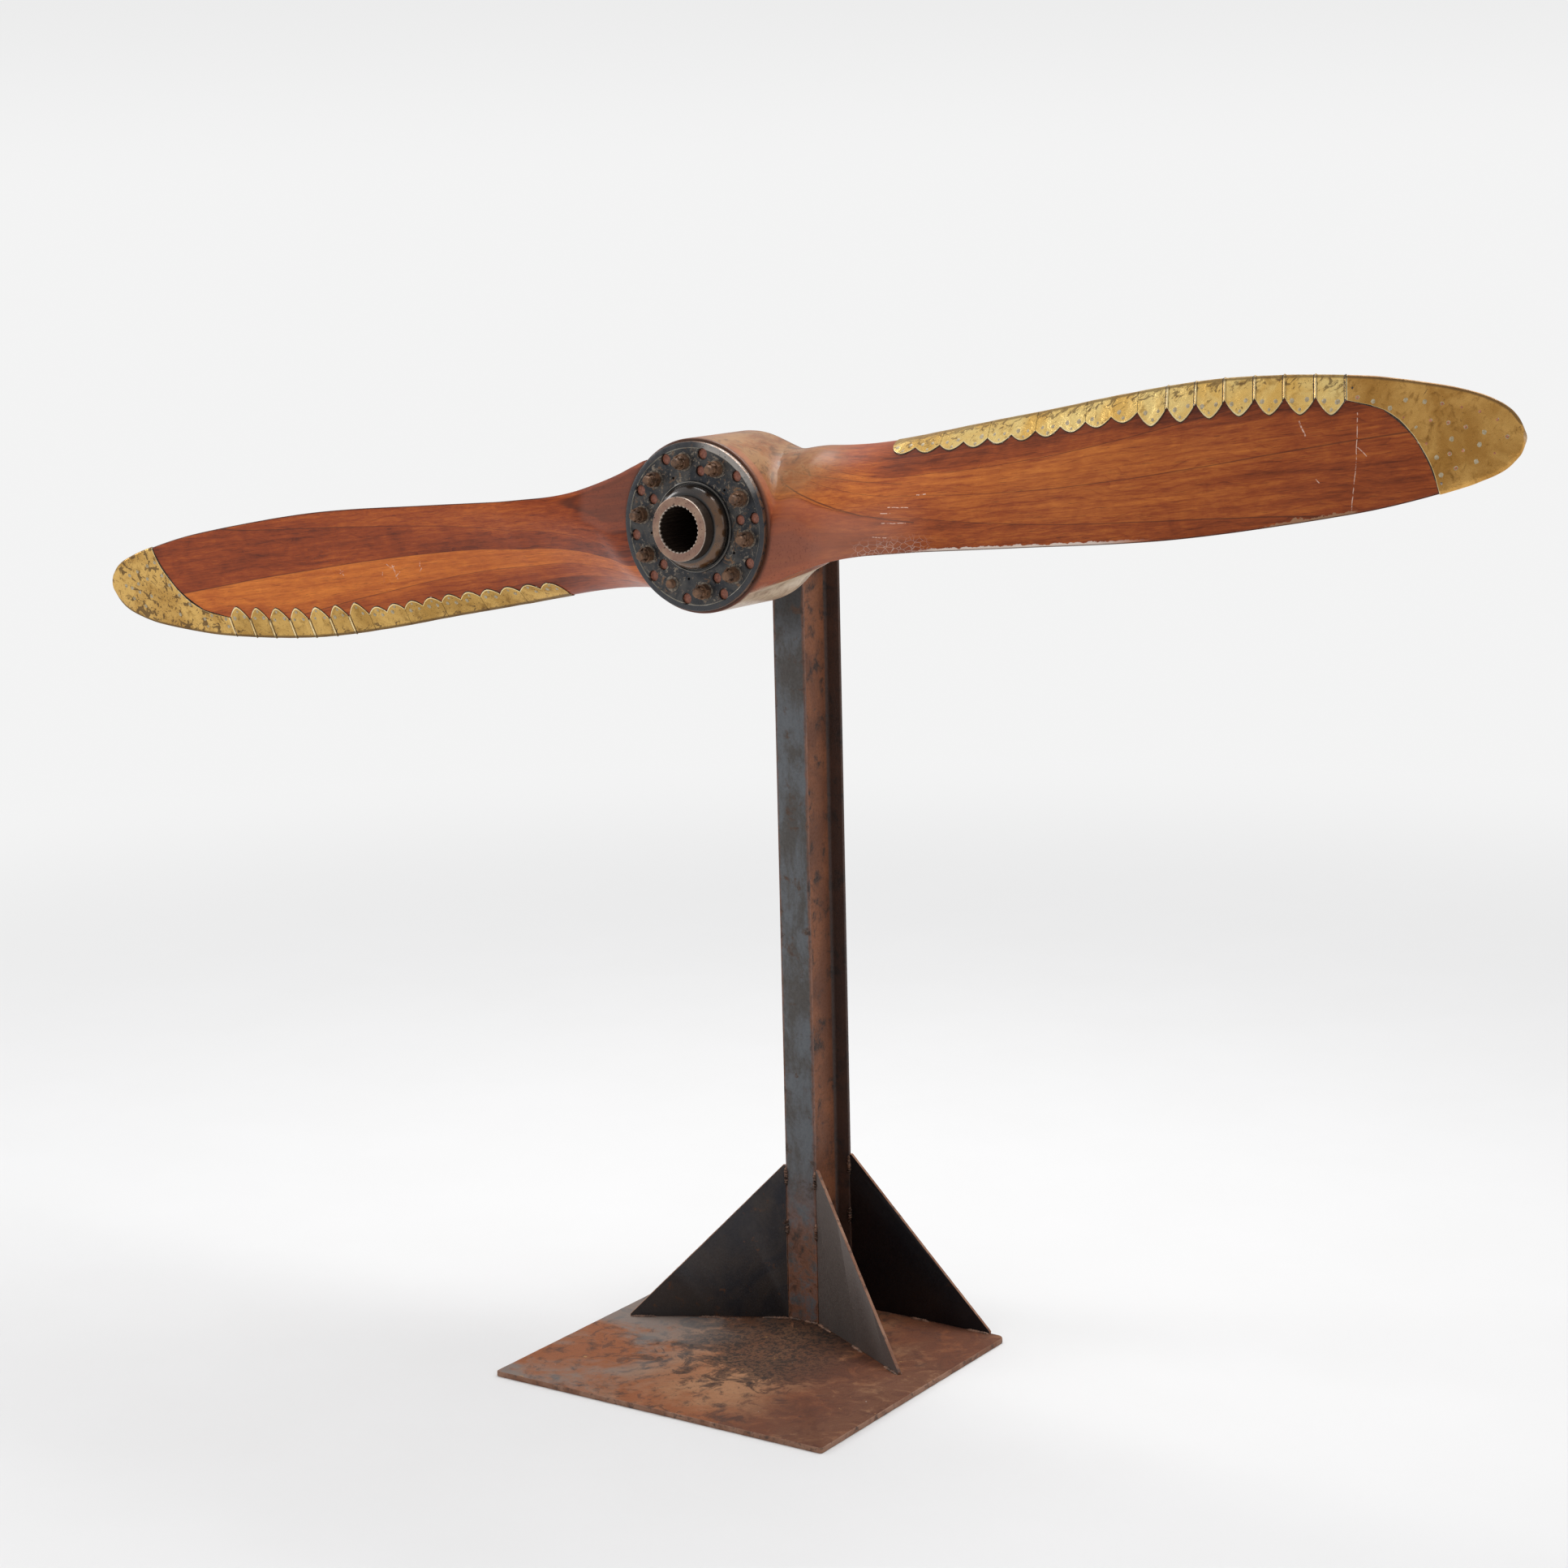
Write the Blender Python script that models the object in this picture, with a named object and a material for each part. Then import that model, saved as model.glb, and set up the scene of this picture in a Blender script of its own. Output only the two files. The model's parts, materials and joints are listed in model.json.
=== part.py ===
"""Antique two-blade wooden aircraft propeller on a welded steel display stand.

Metres, +Z up. The origin is the middle of the base plate's underside, and the
hub's axis runs along Y, with the hub's nose towards -Y. Run it with
blender --background --python part.py, or from the text editor.
"""

import math

import bmesh
import bpy
import numpy as np
from mathutils import Matrix, Vector

# Base plate
PLATE_WIDTH = 0.700
PLATE_DEPTH = 0.614
PLATE_THICKNESS = 0.010
PLATE_CORNER = 0.005
PLATE_CUT_CORNER = 0.014

# Column: a rolled I section, flanges to the front and the back
COLUMN_X = -0.0125
COLUMN_BREADTH = 0.065
COLUMN_DEPTH = 0.122
COLUMN_TOP = 1.590
FLANGE_THICKNESS = 0.0063
WEB_THICKNESS = 0.0046
ROOT_FILLET = 0.007

# Gussets: triangular plates from the flange tips to the base plate
GUSSET_HEIGHT = 0.298
GUSSET_LENGTH = 0.300
GUSSET_THICKNESS = 0.006
GUSSET_SPLAY = math.radians(28.5)
GUSSET_TOE = 0.004

# Hub axis and the parts along it, measured in Y
HUB_X = -0.0087
HUB_Z = 1.5222
BLADE_TILT = math.radians(7.97)
BOSS_RADIUS = 0.150
BOSS_FRONT = -0.0905
BOSS_REAR = 0.1060
BOSS_FRONT_ROUND = 0.003
BOSS_REAR_ROUND = 0.026
BLOCK_SKIN = 0.0006
HUB_FLANGE_RADIUS = 0.145
HUB_FLANGE_THICKNESS = 0.008
BARREL_RADIUS = 0.0553
BARREL_NOSE = -0.1450
BARREL_TAIL = 0.1170
COLLAR_STEPS = (
    (0.0765, 0.0), (0.0760, 0.0030), (0.0715, 0.0030), (0.0705, 0.0100),
    (0.0675, 0.0165), (0.0630, 0.0212), (0.0580, 0.0235),
)
SPLINE_TIP_RADIUS = 0.0385
SPLINE_ROOT_RADIUS = 0.0402
SPLINE_TEETH = 32
TOOTH_SHARES = (0.00, 0.38, 0.55, 0.83)

# Hub fastenings
BOLT_COUNT = 10
BOLT_CIRCLE = 0.1115
BOLT_PHASE = math.radians(99.7)
BOLT_RADIUS = 0.0079
BOLT_END = -0.1265
BARE_BOLT = 6
BARE_BOLT_END = -0.1090
HEX_ACROSS_FLATS = 0.024
NUT_BODY = 0.013
NUT_CROWN = 0.007
CROWN_RADIUS = 0.0112
BOLT_HEAD = 0.009
BOLT_CHAMFER = 0.001
HEAD_STEP = 0.0001

# Rows of holes in the front flange: count, circle, phase, hole radius
OUTER_HOLES = (10, 0.1260, math.radians(116.7), 0.0095)
INNER_HOLES = (5, 0.0962, math.radians(80.9), 0.0090)
PIN_HOLES = (5, 0.0910, math.radians(116.9), 0.0022)
SMALL_HOLE = 0.005
PIN_HOLE_STEPS = 6
REAR_FLANGE_RADIUS = 0.130

# Stub shaft and the plate that carries it
SPINDLE_RADIUS = 0.0380
SPINDLE_FRONT = -0.0050
COLLAR_RADIUS = 0.0500
SPINDLE_CHAMFER = 0.003
SHOULDER_GAP = 0.0005
HEAD_PLATE_THICKNESS = 0.012
HEAD_PLATE_HALF_HEIGHT = 0.065

# Blades: x is the share of the tip radius
TIP_RADIUS = 1.469
PITCH_AT_70 = 1.818
PITCH_SLOPE = -0.534
ROOT_ANGLE = math.radians(44.0)
ANGLE_BLEND = 10.0
FACE_AT_60 = -0.0360
FACE_SLOPE = -0.0249
FACE_CURVE = 0.0274
EDGE_FRONT_LIMIT = -0.0892
LEADING_EDGE = (
    (0.02, 0.110), (0.10, 0.124), (0.20, 0.128), (0.30, 0.126),
    (0.42, 0.125), (0.54, 0.130), (0.60, 0.1315), (0.66, 0.130),
    (0.72, 0.123), (0.78, 0.1125), (0.84, 0.0985), (0.89, 0.081),
    (0.93, 0.0645), (0.95, 0.0535), (0.966, 0.042), (0.980, 0.0285),
    (0.988, 0.0165), (0.993, 0.004), (0.9955, -0.007), (0.9963, -0.0135),
    (0.9965, -0.0185),
)
TRAILING_EDGE = (
    (0.02, 0.150), (0.05, 0.166), (0.0595, 0.1705), (0.080, 0.1605),
    (0.104, 0.1461), (0.127, 0.1350), (0.150, 0.1257), (0.170, 0.1188),
    (0.190, 0.1140), (0.215, 0.1106), (0.25, 0.1088), (0.30, 0.1064),
    (0.42, 0.109), (0.54, 0.1155), (0.60, 0.117), (0.66, 0.1155),
    (0.72, 0.112), (0.78, 0.1075), (0.84, 0.101), (0.904, 0.088),
    (0.948, 0.075), (0.977, 0.060), (0.988, 0.047), (0.993, 0.0387),
    (0.9955, 0.0298), (0.9963, 0.024), (0.9965, 0.0195),
)
BACK_THICKNESS = (
    (0.02, 0.150), (0.09, 0.138), (0.13, 0.118), (0.17, 0.096),
    (0.22, 0.074), (0.30, 0.050), (0.45, 0.036), (0.60, 0.027),
    (0.75, 0.019), (0.90, 0.012), (1.0, 0.007),
)
FACE_THICKNESS = (
    (0.02, 0.074), (0.13, 0.070), (0.16, 0.052), (0.204, 0.033),
    (0.27, 0.0175), (0.34, 0.009), (0.41, 0.005), (0.50, 0.0025), (1.0, 0.0016),
)
BACK_POWER = ((0.02, 1.15), (0.15, 1.15), (0.27, 1.7), (1.0, 1.7))
THICKEST_AT = 0.40
FACE_POWER = 2.4
NORMAL_STEP = 0.0005
ROOT_RINGS = (0.03, 0.06, 0.09, 0.115, 0.14, 0.165, 0.19, 0.2325)
RING_CLEARANCE = 0.01
TIP_RINGS = (0.930, 0.950, 0.968, 0.982, 0.989, 0.9935, 0.9958)

# Brass: where each strip starts and ends on the leading edge, and its tab rows
STRIP_ENDS = {
    "right": (0.226, 0.296, 0.3615, 0.426, 0.491, 0.557),
    "left": (0.272, 0.335, 0.396, 0.457, 0.517, 0.575),
}
RIBS = {
    "right": (0.594, 0.629, 0.664, 0.700, 0.735, 0.771, 0.806),
    "left": (0.608, 0.640, 0.674, 0.706, 0.740, 0.772, 0.806),
}
CAP_START = 0.806
CAP_REACH = 0.098
CAP_EDGE_POWER = 0.35
CAP_FLAT_SHARE = 0.18
CAP_SEAM = 0.0014
CAP_RING_STEP = 0.031
CAP_SLANTED_RINGS = 4
TIP_CLEARANCE = 0.0004
EDGE_ROWS = (0.0, 0.003, 0.011, 0.022, 0.034, 0.060)
VALLEY_DEPTH = 0.038
SCALLOP_DEPTH = 0.048
TAB_DEPTH = 0.060
FAR_ROWS = (0.45, 0.80, 1.0)
NEAR_SHARE = 0.45
BRASS_GAP = 0.0006
BRASS_THICKNESS = 0.0010
SEAM_HALF = 0.0004

SEAT_GAP = 0.0003
FACE_MATCH = 0.00001
EDGE_CHAMFER = 0.0015
CUT_MARGIN = 0.02
CAP_RADIUS = 0.001
ROUND_STEPS = 48
SMALL_STEPS = 12

PLATE_BACK = PLATE_DEPTH / 2
COLUMN_BACK = PLATE_BACK
COLUMN_FRONT = COLUMN_BACK - COLUMN_DEPTH
PLATE_TOP = PLATE_THICKNESS
SIDE_TURN = {"right": 0.0, "left": math.pi}


def clear_scene():
    for old in list(bpy.data.objects):
        bpy.data.objects.remove(old, do_unlink=True)


def material(name, color, roughness, metallic):
    made = bpy.data.materials.new(name)
    made.use_nodes = True
    shader = made.node_tree.nodes["Principled BSDF"]
    shader.inputs["Base Color"].default_value = (*color, 1.0)
    shader.inputs["Roughness"].default_value = roughness
    shader.inputs["Metallic"].default_value = metallic
    return made


def finished(name, mesh_builder, finish, smooth=None):
    """An object from a bmesh, with its faces turned out and round faces smooth."""
    bmesh.ops.recalc_face_normals(mesh_builder, faces=mesh_builder.faces[:])
    mesh = bpy.data.meshes.new(name)
    mesh_builder.to_mesh(mesh)
    mesh_builder.free()
    made = bpy.data.objects.new(name, mesh)
    bpy.context.scene.collection.objects.link(made)
    if finish:
        mesh.materials.append(finish)
    if smooth:
        mesh.shade_smooth()
        mesh.set_sharp_from_angle(angle=math.radians(smooth))
    return made


def helper(made):
    """Marks a cutter or a solid that only serves a Boolean."""
    made.hide_render = True
    made.display_type = "WIRE"
    return made


def boolean(target, other, operation):
    cut = target.modifiers.new(other.name, "BOOLEAN")
    cut.operation = operation
    cut.solver = "EXACT"
    cut.object = other


def ring_faces(build, first, second):
    count = len(first)
    for k in range(count):
        n = (k + 1) % count
        build.faces.new((first[k], first[n], second[n], second[k]))


def turned(profile, steps, closed_profile=False, hexagon=()):
    """A bmesh turned about the Y axis from (radius, y) points.

    Rows named in hexagon have six flat sides, and their radius is across the
    corners. An open profile is capped at both ends.
    """
    build = bmesh.new()
    rings = []
    for row, (radius, y) in enumerate(profile):
        ring = []
        for k in range(steps):
            reach = radius
            if row in hexagon and k % 2:
                reach = radius * math.cos(math.pi / 6)
            angle = 2 * math.pi * k / steps
            ring.append(build.verts.new((reach * math.cos(angle), y, reach * math.sin(angle))))
        rings.append(ring)
    for first, second in zip(rings, rings[1:]):
        ring_faces(build, first, second)
    if closed_profile:
        ring_faces(build, rings[-1], rings[0])
    else:
        build.faces.new(rings[0])
        build.faces.new(rings[-1])
    return build


def prism(outline, low, high):
    """A bmesh from a flat outline of (x, y) points between two heights in Z."""
    build = bmesh.new()
    bottom = [build.verts.new((x, y, low)) for x, y in outline]
    top = [build.verts.new((x, y, high)) for x, y in outline]
    ring_faces(build, bottom, top)
    build.faces.new(bottom)
    build.faces.new(top)
    return build


def arc(centre, radius, start, end, steps):
    """Points on a round corner, with the angles in degrees."""
    points = []
    for k in range(steps + 1):
        angle = math.radians(start + (end - start) * k / steps)
        x = centre[0] + radius * math.cos(angle)
        points.append((x, centre[1] + radius * math.sin(angle)))
    return points


def curve_value(table, x):
    """Reads a smooth curve through (x, value) points with no overshoot."""
    xs = np.array([row[0] for row in table])
    ys = np.array([row[1] for row in table])
    steps = np.diff(xs)
    slopes = np.diff(ys) / steps
    tangents = np.concatenate([[slopes[0]], (slopes[1:] + slopes[:-1]) / 2, [slopes[-1]]])
    turning = slopes[1:] * slopes[:-1] <= 0
    tangents[1:-1][turning] = 0.0
    place_in = int(np.clip(np.searchsorted(xs, x) - 1, 0, len(steps) - 1))
    width = steps[place_in]
    t = float(np.clip((x - xs[place_in]) / width, 0.0, 1.0))
    low, high = ys[place_in], ys[place_in + 1]
    lean = tangents[place_in] * width, tangents[place_in + 1] * width
    value = (2 * t**3 - 3 * t**2 + 1) * low + (t**3 - 2 * t**2 + t) * lean[0]
    value += (3 * t**2 - 2 * t**3) * high + (t**3 - t**2) * lean[1]
    return float(value)


def blade_angle(x):
    """Angle of the flat face at x: a screw of nearly even pitch, capped near the hub."""
    pitch = PITCH_AT_70 + PITCH_SLOPE * (x - 0.7)
    screw = math.atan(pitch / (2 * math.pi * x * TIP_RADIUS))
    total = screw**-ANGLE_BLEND + ROOT_ANGLE**-ANGLE_BLEND
    return total ** (-1 / ANGLE_BLEND)


def face_offset(x, angle, trailing):
    """Where the flat face crosses the blade's middle line, in Y."""
    free = FACE_AT_60 + FACE_SLOPE * (x - 0.6) + FACE_CURVE * (x - 0.6) ** 2
    return max(free, EDGE_FRONT_LIMIT + trailing * math.sin(angle))


def bulge(share, power):
    """Height of the skin over the chord, from 0 to 1, at a share from LE to TE.

    power shapes the rear part of the cambered back, and the flat face has none.
    """
    if share < THICKEST_AT:
        v = 1 - share / THICKEST_AT
        return math.sqrt(max(0.0, 1 - v * v))
    v = (share - THICKEST_AT) / (1 - THICKEST_AT)
    if power is None:
        return math.sqrt(max(0.0, 1 - v**FACE_POWER))
    return 1 - v**power


def skin_normal(share, chord, face, thickness, power):
    """Unit normal of the section's outline as (along the chord, through the blade)."""
    if share < NORMAL_STEP:
        return 1.0, 0.0
    if share > 1 - NORMAL_STEP:
        return -1.0, 0.0
    after = bulge(share + NORMAL_STEP, power)
    before = bulge(share - NORMAL_STEP, power)
    rise = thickness * (after - before)
    run = 2 * NORMAL_STEP * chord
    size = math.hypot(rise, run)
    return rise / size, face * run / size


def section_point(x, depth, face, lift):
    """A point of the blade's skin in (radius, across, Y).

    depth is the distance from the leading edge along the chord, face is 1 on the
    cambered back and -1 on the flat face, and lift moves it out of the wood.
    """
    leading = curve_value(LEADING_EDGE, x)
    trailing = curve_value(TRAILING_EDGE, x)
    chord = leading + trailing
    share = min(max(depth / chord, 0.0), 1.0)
    thickness = curve_value(BACK_THICKNESS if face > 0 else FACE_THICKNESS, x)
    power = curve_value(BACK_POWER, x) if face > 0 else None
    normal = skin_normal(share, chord, face, thickness, power)
    height = face * thickness * bulge(share, power) + lift * normal[1]
    along = leading - share * chord + lift * normal[0]
    angle = blade_angle(x)
    middle = face_offset(x, angle, trailing)
    across = along * math.cos(angle) - height * math.sin(angle)
    y = middle + along * math.sin(angle) + height * math.cos(angle)
    y = min(max(y, BOSS_FRONT + BLOCK_SKIN), BOSS_REAR - BLOCK_SKIN)
    return Vector((x * TIP_RADIUS, across, y))


def row_depths(x):
    """Distances from the leading edge of the ring's rows at x."""
    chord = curve_value(LEADING_EDGE, x) + curve_value(TRAILING_EDGE, x)
    squeeze = min(1.0, NEAR_SHARE * chord / EDGE_ROWS[-1])
    near = [depth * squeeze for depth in EDGE_ROWS]
    rest = chord - near[-1]
    return near + [near[-1] + rest * share for share in FAR_ROWS]


def in_blade_frame(point, side):
    """From (radius, across, Y) to the part's frame, for the right or the left blade."""
    radius, across, y = point
    turn = BLADE_TILT + SIDE_TURN[side]
    x = HUB_X + radius * math.cos(turn) - across * math.sin(turn)
    z = HUB_Z + radius * math.sin(turn) + across * math.cos(turn)
    return Vector((x, y, z))


def slanted(flat_x, share, slant):
    """Moves a ring's x out towards the trailing edge, as the tip sheath's edge runs."""
    if share <= CAP_FLAT_SHARE:
        return flat_x
    reach = (share - CAP_FLAT_SHARE) / (1 - CAP_FLAT_SHARE)
    return flat_x + slant * CAP_REACH * reach**CAP_EDGE_POWER


def ring_points(x, slant=0.0, lift=0.0, last_row=None):
    """Points round the blade: along the back to the last row, then the flat face."""
    depths = row_depths(x)
    last = len(depths) - 1 if last_row is None else last_row
    chord = depths[-1]
    rows = []
    for face in (1, -1):
        side = []
        for depth in depths[: last + 1]:
            share = depth / chord
            here = slanted(x, share, slant)
            scale = row_depths(here)[-1] / chord
            side.append(section_point(here, depth * scale, face, lift))
        rows.append(side)
    back, flat = rows
    if last_row is None:
        return back + flat[-2:0:-1]
    return back[::-1] + flat[1:]


def strip_stations(side):
    """Ring positions under the brass: every valley, and every tip between two valleys."""
    ends = STRIP_ENDS[side]
    stations = []
    for low, high in zip(ends, ends[1:]):
        step = (high - low) / 4
        stations += [low + k * step for k in range(4)]
    ribs = (ends[-1], *RIBS[side])
    for low, high in zip(ribs, ribs[1:]):
        stations += [low, (low + high) / 2]
    return stations + [CAP_START]


def blade_rings(side):
    """All the rings of one blade as (x, slant), from inside the boss to the tip."""
    first = STRIP_ENDS[side][0]
    rings = [(x, 0.0) for x in ROOT_RINGS if x < first - RING_CLEARANCE]
    rings += [(x, 0.0) for x in strip_stations(side)]
    rings += cap_rings()
    return rings


def cap_rings():
    """Rings under the tip sheath, slanted like its edge and straightening outwards."""
    rings = [(CAP_START + CAP_SEAM / 2, 0.5), (CAP_START + CAP_SEAM, 1.0)]
    for k in range(1, CAP_SLANTED_RINGS):
        rings.append((CAP_START + CAP_RING_STEP * k, 1.0 - k / CAP_SLANTED_RINGS))
    return rings + [(x, 0.0) for x in TIP_RINGS]


def loft(rings, side):
    """A closed bmesh through rings of points, capped at both ends."""
    build = bmesh.new()
    placed = []
    for ring in rings:
        placed.append([build.verts.new(in_blade_frame(point, side)) for point in ring])
    for first, second in zip(placed, placed[1:]):
        ring_faces(build, first, second)
    build.faces.new(placed[0])
    build.faces.new(placed[-1])
    return build


def blade_solid(side):
    rings = [ring_points(x, slant) for x, slant in blade_rings(side)]
    return helper(finished("blade_form_" + side, loft(rings, side), None))


def boss_profile():
    """The turned block in the middle: a small front round and a large rear one."""
    rim = BOSS_RADIUS - BOSS_FRONT_ROUND
    points = [(CAP_RADIUS, BOSS_FRONT), (rim, BOSS_FRONT)]
    points += [(BOSS_RADIUS, BOSS_FRONT + BOSS_FRONT_ROUND)]
    points += arc((BOSS_RADIUS - BOSS_REAR_ROUND, BOSS_REAR - BOSS_REAR_ROUND),
                  BOSS_REAR_ROUND, 0, 90, 4)
    return points + [(CAP_RADIUS, BOSS_REAR)]


def on_circle(circle, phase, count, k):
    angle = phase - 2 * math.pi * k / count
    return HUB_X + circle * math.cos(angle), HUB_Z + circle * math.sin(angle)


def add_rods(build, rows, low, high, steps):
    """Adds one capped rod along Y for each (x, z, radius) to a bmesh."""
    for x, z, radius in rows:
        ends = []
        for y in (low, high):
            ring = []
            for k in range(steps):
                angle = 2 * math.pi * k / steps
                spot = (x + radius * math.cos(angle), y, z + radius * math.sin(angle))
                ring.append(build.verts.new(spot))
            ends.append(ring)
        ring_faces(build, *ends)
        build.faces.new(ends[0])
        build.faces.new(ends[1])


def bolt_spots(radius):
    spots = []
    for k in range(BOLT_COUNT):
        x, z = on_circle(BOLT_CIRCLE, BOLT_PHASE, BOLT_COUNT, k)
        spots.append((x, z, radius))
    return spots


def bolt_cutter(name, low, high):
    build = bmesh.new()
    add_rods(build, bolt_spots(BOLT_RADIUS + SEAT_GAP), low, high, SMALL_STEPS)
    return helper(finished(name, build, None))


def make_propeller(wood):
    """The carved wooden body: one glued block, so one solid."""
    body = finished("wooden_propeller", turned(boss_profile(), ROUND_STEPS), wood, 35)
    body.data.transform(Matrix.Translation((HUB_X, 0, HUB_Z)))
    for side in SIDE_TURN:
        boolean(body, blade_solid(side), "UNION")
    bore = bmesh.new()
    centre = [(HUB_X, HUB_Z, BARREL_RADIUS + SEAT_GAP)]
    add_rods(bore, centre, BOSS_FRONT - CUT_MARGIN, BOSS_REAR + CUT_MARGIN, ROUND_STEPS)
    boolean(body, helper(finished("bore_cutter", bore, None)), "DIFFERENCE")
    cutter = bolt_cutter("wood_bolt_cutter", BOSS_FRONT - CUT_MARGIN, BOSS_REAR + CUT_MARGIN)
    boolean(body, cutter, "DIFFERENCE")
    return body


def make_front_flange(steel):
    """The drilled front flange with the domed collar round the barrel."""
    front = BOSS_FRONT - SEAT_GAP - HUB_FLANGE_THICKNESS
    rear = BOSS_FRONT - SEAT_GAP
    inner = BARREL_RADIUS + SEAT_GAP
    profile = [
        (inner, rear), (HUB_FLANGE_RADIUS, rear),
        (HUB_FLANGE_RADIUS, front + EDGE_CHAMFER), (HUB_FLANGE_RADIUS - EDGE_CHAMFER, front),
    ]
    profile += [(radius, front - rise) for radius, rise in COLLAR_STEPS]
    profile.append((inner, front - COLLAR_STEPS[-1][1]))
    made = finished("front_hub_flange", turned(profile, ROUND_STEPS, True), steel, 35)
    made.data.transform(Matrix.Translation((HUB_X, 0, HUB_Z)))
    build = bmesh.new()
    for count, circle, phase, radius in (OUTER_HOLES, INNER_HOLES, PIN_HOLES):
        spots = [(*on_circle(circle, phase, count, k), radius) for k in range(count)]
        steps = SMALL_STEPS if radius > SMALL_HOLE else PIN_HOLE_STEPS
        add_rods(build, spots, front - CUT_MARGIN, rear + CUT_MARGIN, steps)
    through = bolt_spots(BOLT_RADIUS + SEAT_GAP)
    add_rods(build, through, front - CUT_MARGIN, rear + CUT_MARGIN, SMALL_STEPS)
    cutter = helper(finished("flange_hole_cutter", build, None))
    boolean(made, cutter, "DIFFERENCE")
    return made


def make_rear_flange(steel):
    front = BOSS_REAR + SEAT_GAP
    rear = front + HUB_FLANGE_THICKNESS
    inner = BARREL_RADIUS + SEAT_GAP
    profile = [(inner, front), (REAR_FLANGE_RADIUS, front)]
    profile += [(REAR_FLANGE_RADIUS, rear), (inner, rear)]
    made = finished("rear_hub_flange", turned(profile[::-1], ROUND_STEPS, True), steel, 35)
    made.data.transform(Matrix.Translation((HUB_X, 0, HUB_Z)))
    cutter = bolt_cutter("rear_bolt_cutter", front - CUT_MARGIN, rear + CUT_MARGIN)
    boolean(made, cutter, "DIFFERENCE")
    return made


def spline_outline():
    """The toothed outline of the bore, as (x, z) points."""
    points = []
    pitch = 2 * math.pi / SPLINE_TEETH
    for k in range(SPLINE_TEETH):
        radii = (SPLINE_TIP_RADIUS, SPLINE_TIP_RADIUS, SPLINE_ROOT_RADIUS, SPLINE_ROOT_RADIUS)
        for share, radius in zip(TOOTH_SHARES, radii):
            angle = (k + share) * pitch
            points.append((radius * math.cos(angle), radius * math.sin(angle)))
    return points


def make_barrel(steel):
    """The hub's tube: it runs through the wood and holds the splined bore."""
    profile = [
        (CAP_RADIUS, BARREL_NOSE), (BARREL_RADIUS - EDGE_CHAMFER, BARREL_NOSE),
        (BARREL_RADIUS, BARREL_NOSE + EDGE_CHAMFER), (BARREL_RADIUS, BARREL_TAIL),
        (CAP_RADIUS, BARREL_TAIL),
    ]
    made = finished("hub_barrel", turned(profile, ROUND_STEPS), steel, 35)
    made.data.transform(Matrix.Translation((HUB_X, 0, HUB_Z)))
    reach = BARREL_TAIL - BARREL_NOSE
    cutter = finished("spline_cutter", prism(spline_outline(), -reach, reach), None)
    cutter.data.transform(Matrix.Rotation(math.pi / 2, 4, "X"))
    cutter.data.transform(Matrix.Translation((HUB_X, 0, HUB_Z)))
    boolean(made, helper(cutter), "DIFFERENCE")
    return made


def make_bolt(k, steel):
    """A hub bolt: its head is behind the rear flange, its thread stands out in front."""
    seat = BOSS_REAR + 2 * SEAT_GAP + HUB_FLANGE_THICKNESS
    corner = HEX_ACROSS_FLATS / 2 / math.cos(math.pi / 6)
    end = BARE_BOLT_END if k == BARE_BOLT else BOLT_END
    profile = [
        (corner, seat + BOLT_HEAD), (corner, seat),
        (BOLT_RADIUS, seat - HEAD_STEP), (BOLT_RADIUS, end + BOLT_CHAMFER),
        (BOLT_RADIUS - BOLT_CHAMFER, end),
    ]
    build = turned(profile, SMALL_STEPS, hexagon=(0, 1))
    made = finished(f"hub_bolt_{k + 1:02d}", build, steel, 35)
    x, z = on_circle(BOLT_CIRCLE, BOLT_PHASE, BOLT_COUNT, k)
    made.data.transform(Matrix.Translation((x, 0, z)))
    return made


def make_nut(k, steel):
    """A slotted nut: a hexagon with six raised teeth for a locking pin."""
    seat = BOSS_FRONT - 2 * SEAT_GAP - HUB_FLANGE_THICKNESS
    corner = HEX_ACROSS_FLATS / 2 / math.cos(math.pi / 6)
    inner = BOLT_RADIUS + SEAT_GAP
    top = seat - NUT_BODY
    profile = [(inner, seat), (corner, seat), (corner, top), (CROWN_RADIUS, top), (inner, top)]
    build = turned(profile, SMALL_STEPS, True, hexagon=(1, 2))
    front = []
    for face in build.faces:
        middle = face.calc_center_median()
        if abs(middle.y - top) < FACE_MATCH and math.hypot(middle.x, middle.z) < CROWN_RADIUS:
            front.append(face)
    for face in front[::2]:
        raised = bmesh.ops.extrude_face_region(build, geom=[face])
        moved = [item for item in raised["geom"] if isinstance(item, bmesh.types.BMVert)]
        bmesh.ops.translate(build, verts=moved, vec=(0, -NUT_CROWN, 0))
        bmesh.ops.delete(build, geom=[face], context="FACES_ONLY")
    made = finished(f"castle_nut_{k + 1:02d}", build, steel)
    x, z = on_circle(BOLT_CIRCLE, BOLT_PHASE, BOLT_COUNT, k)
    made.data.transform(Matrix.Translation((x, 0, z)))
    return made


def edge_ring(x, depth, lift):
    """A strip's ring: from its back hem round the leading edge to its front hem."""
    rows = (*EDGE_ROWS[:-1], depth)
    back, flat = [[section_point(x, row, face, lift) for row in rows] for face in (1, -1)]
    return back[::-1] + flat[1:]


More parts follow.
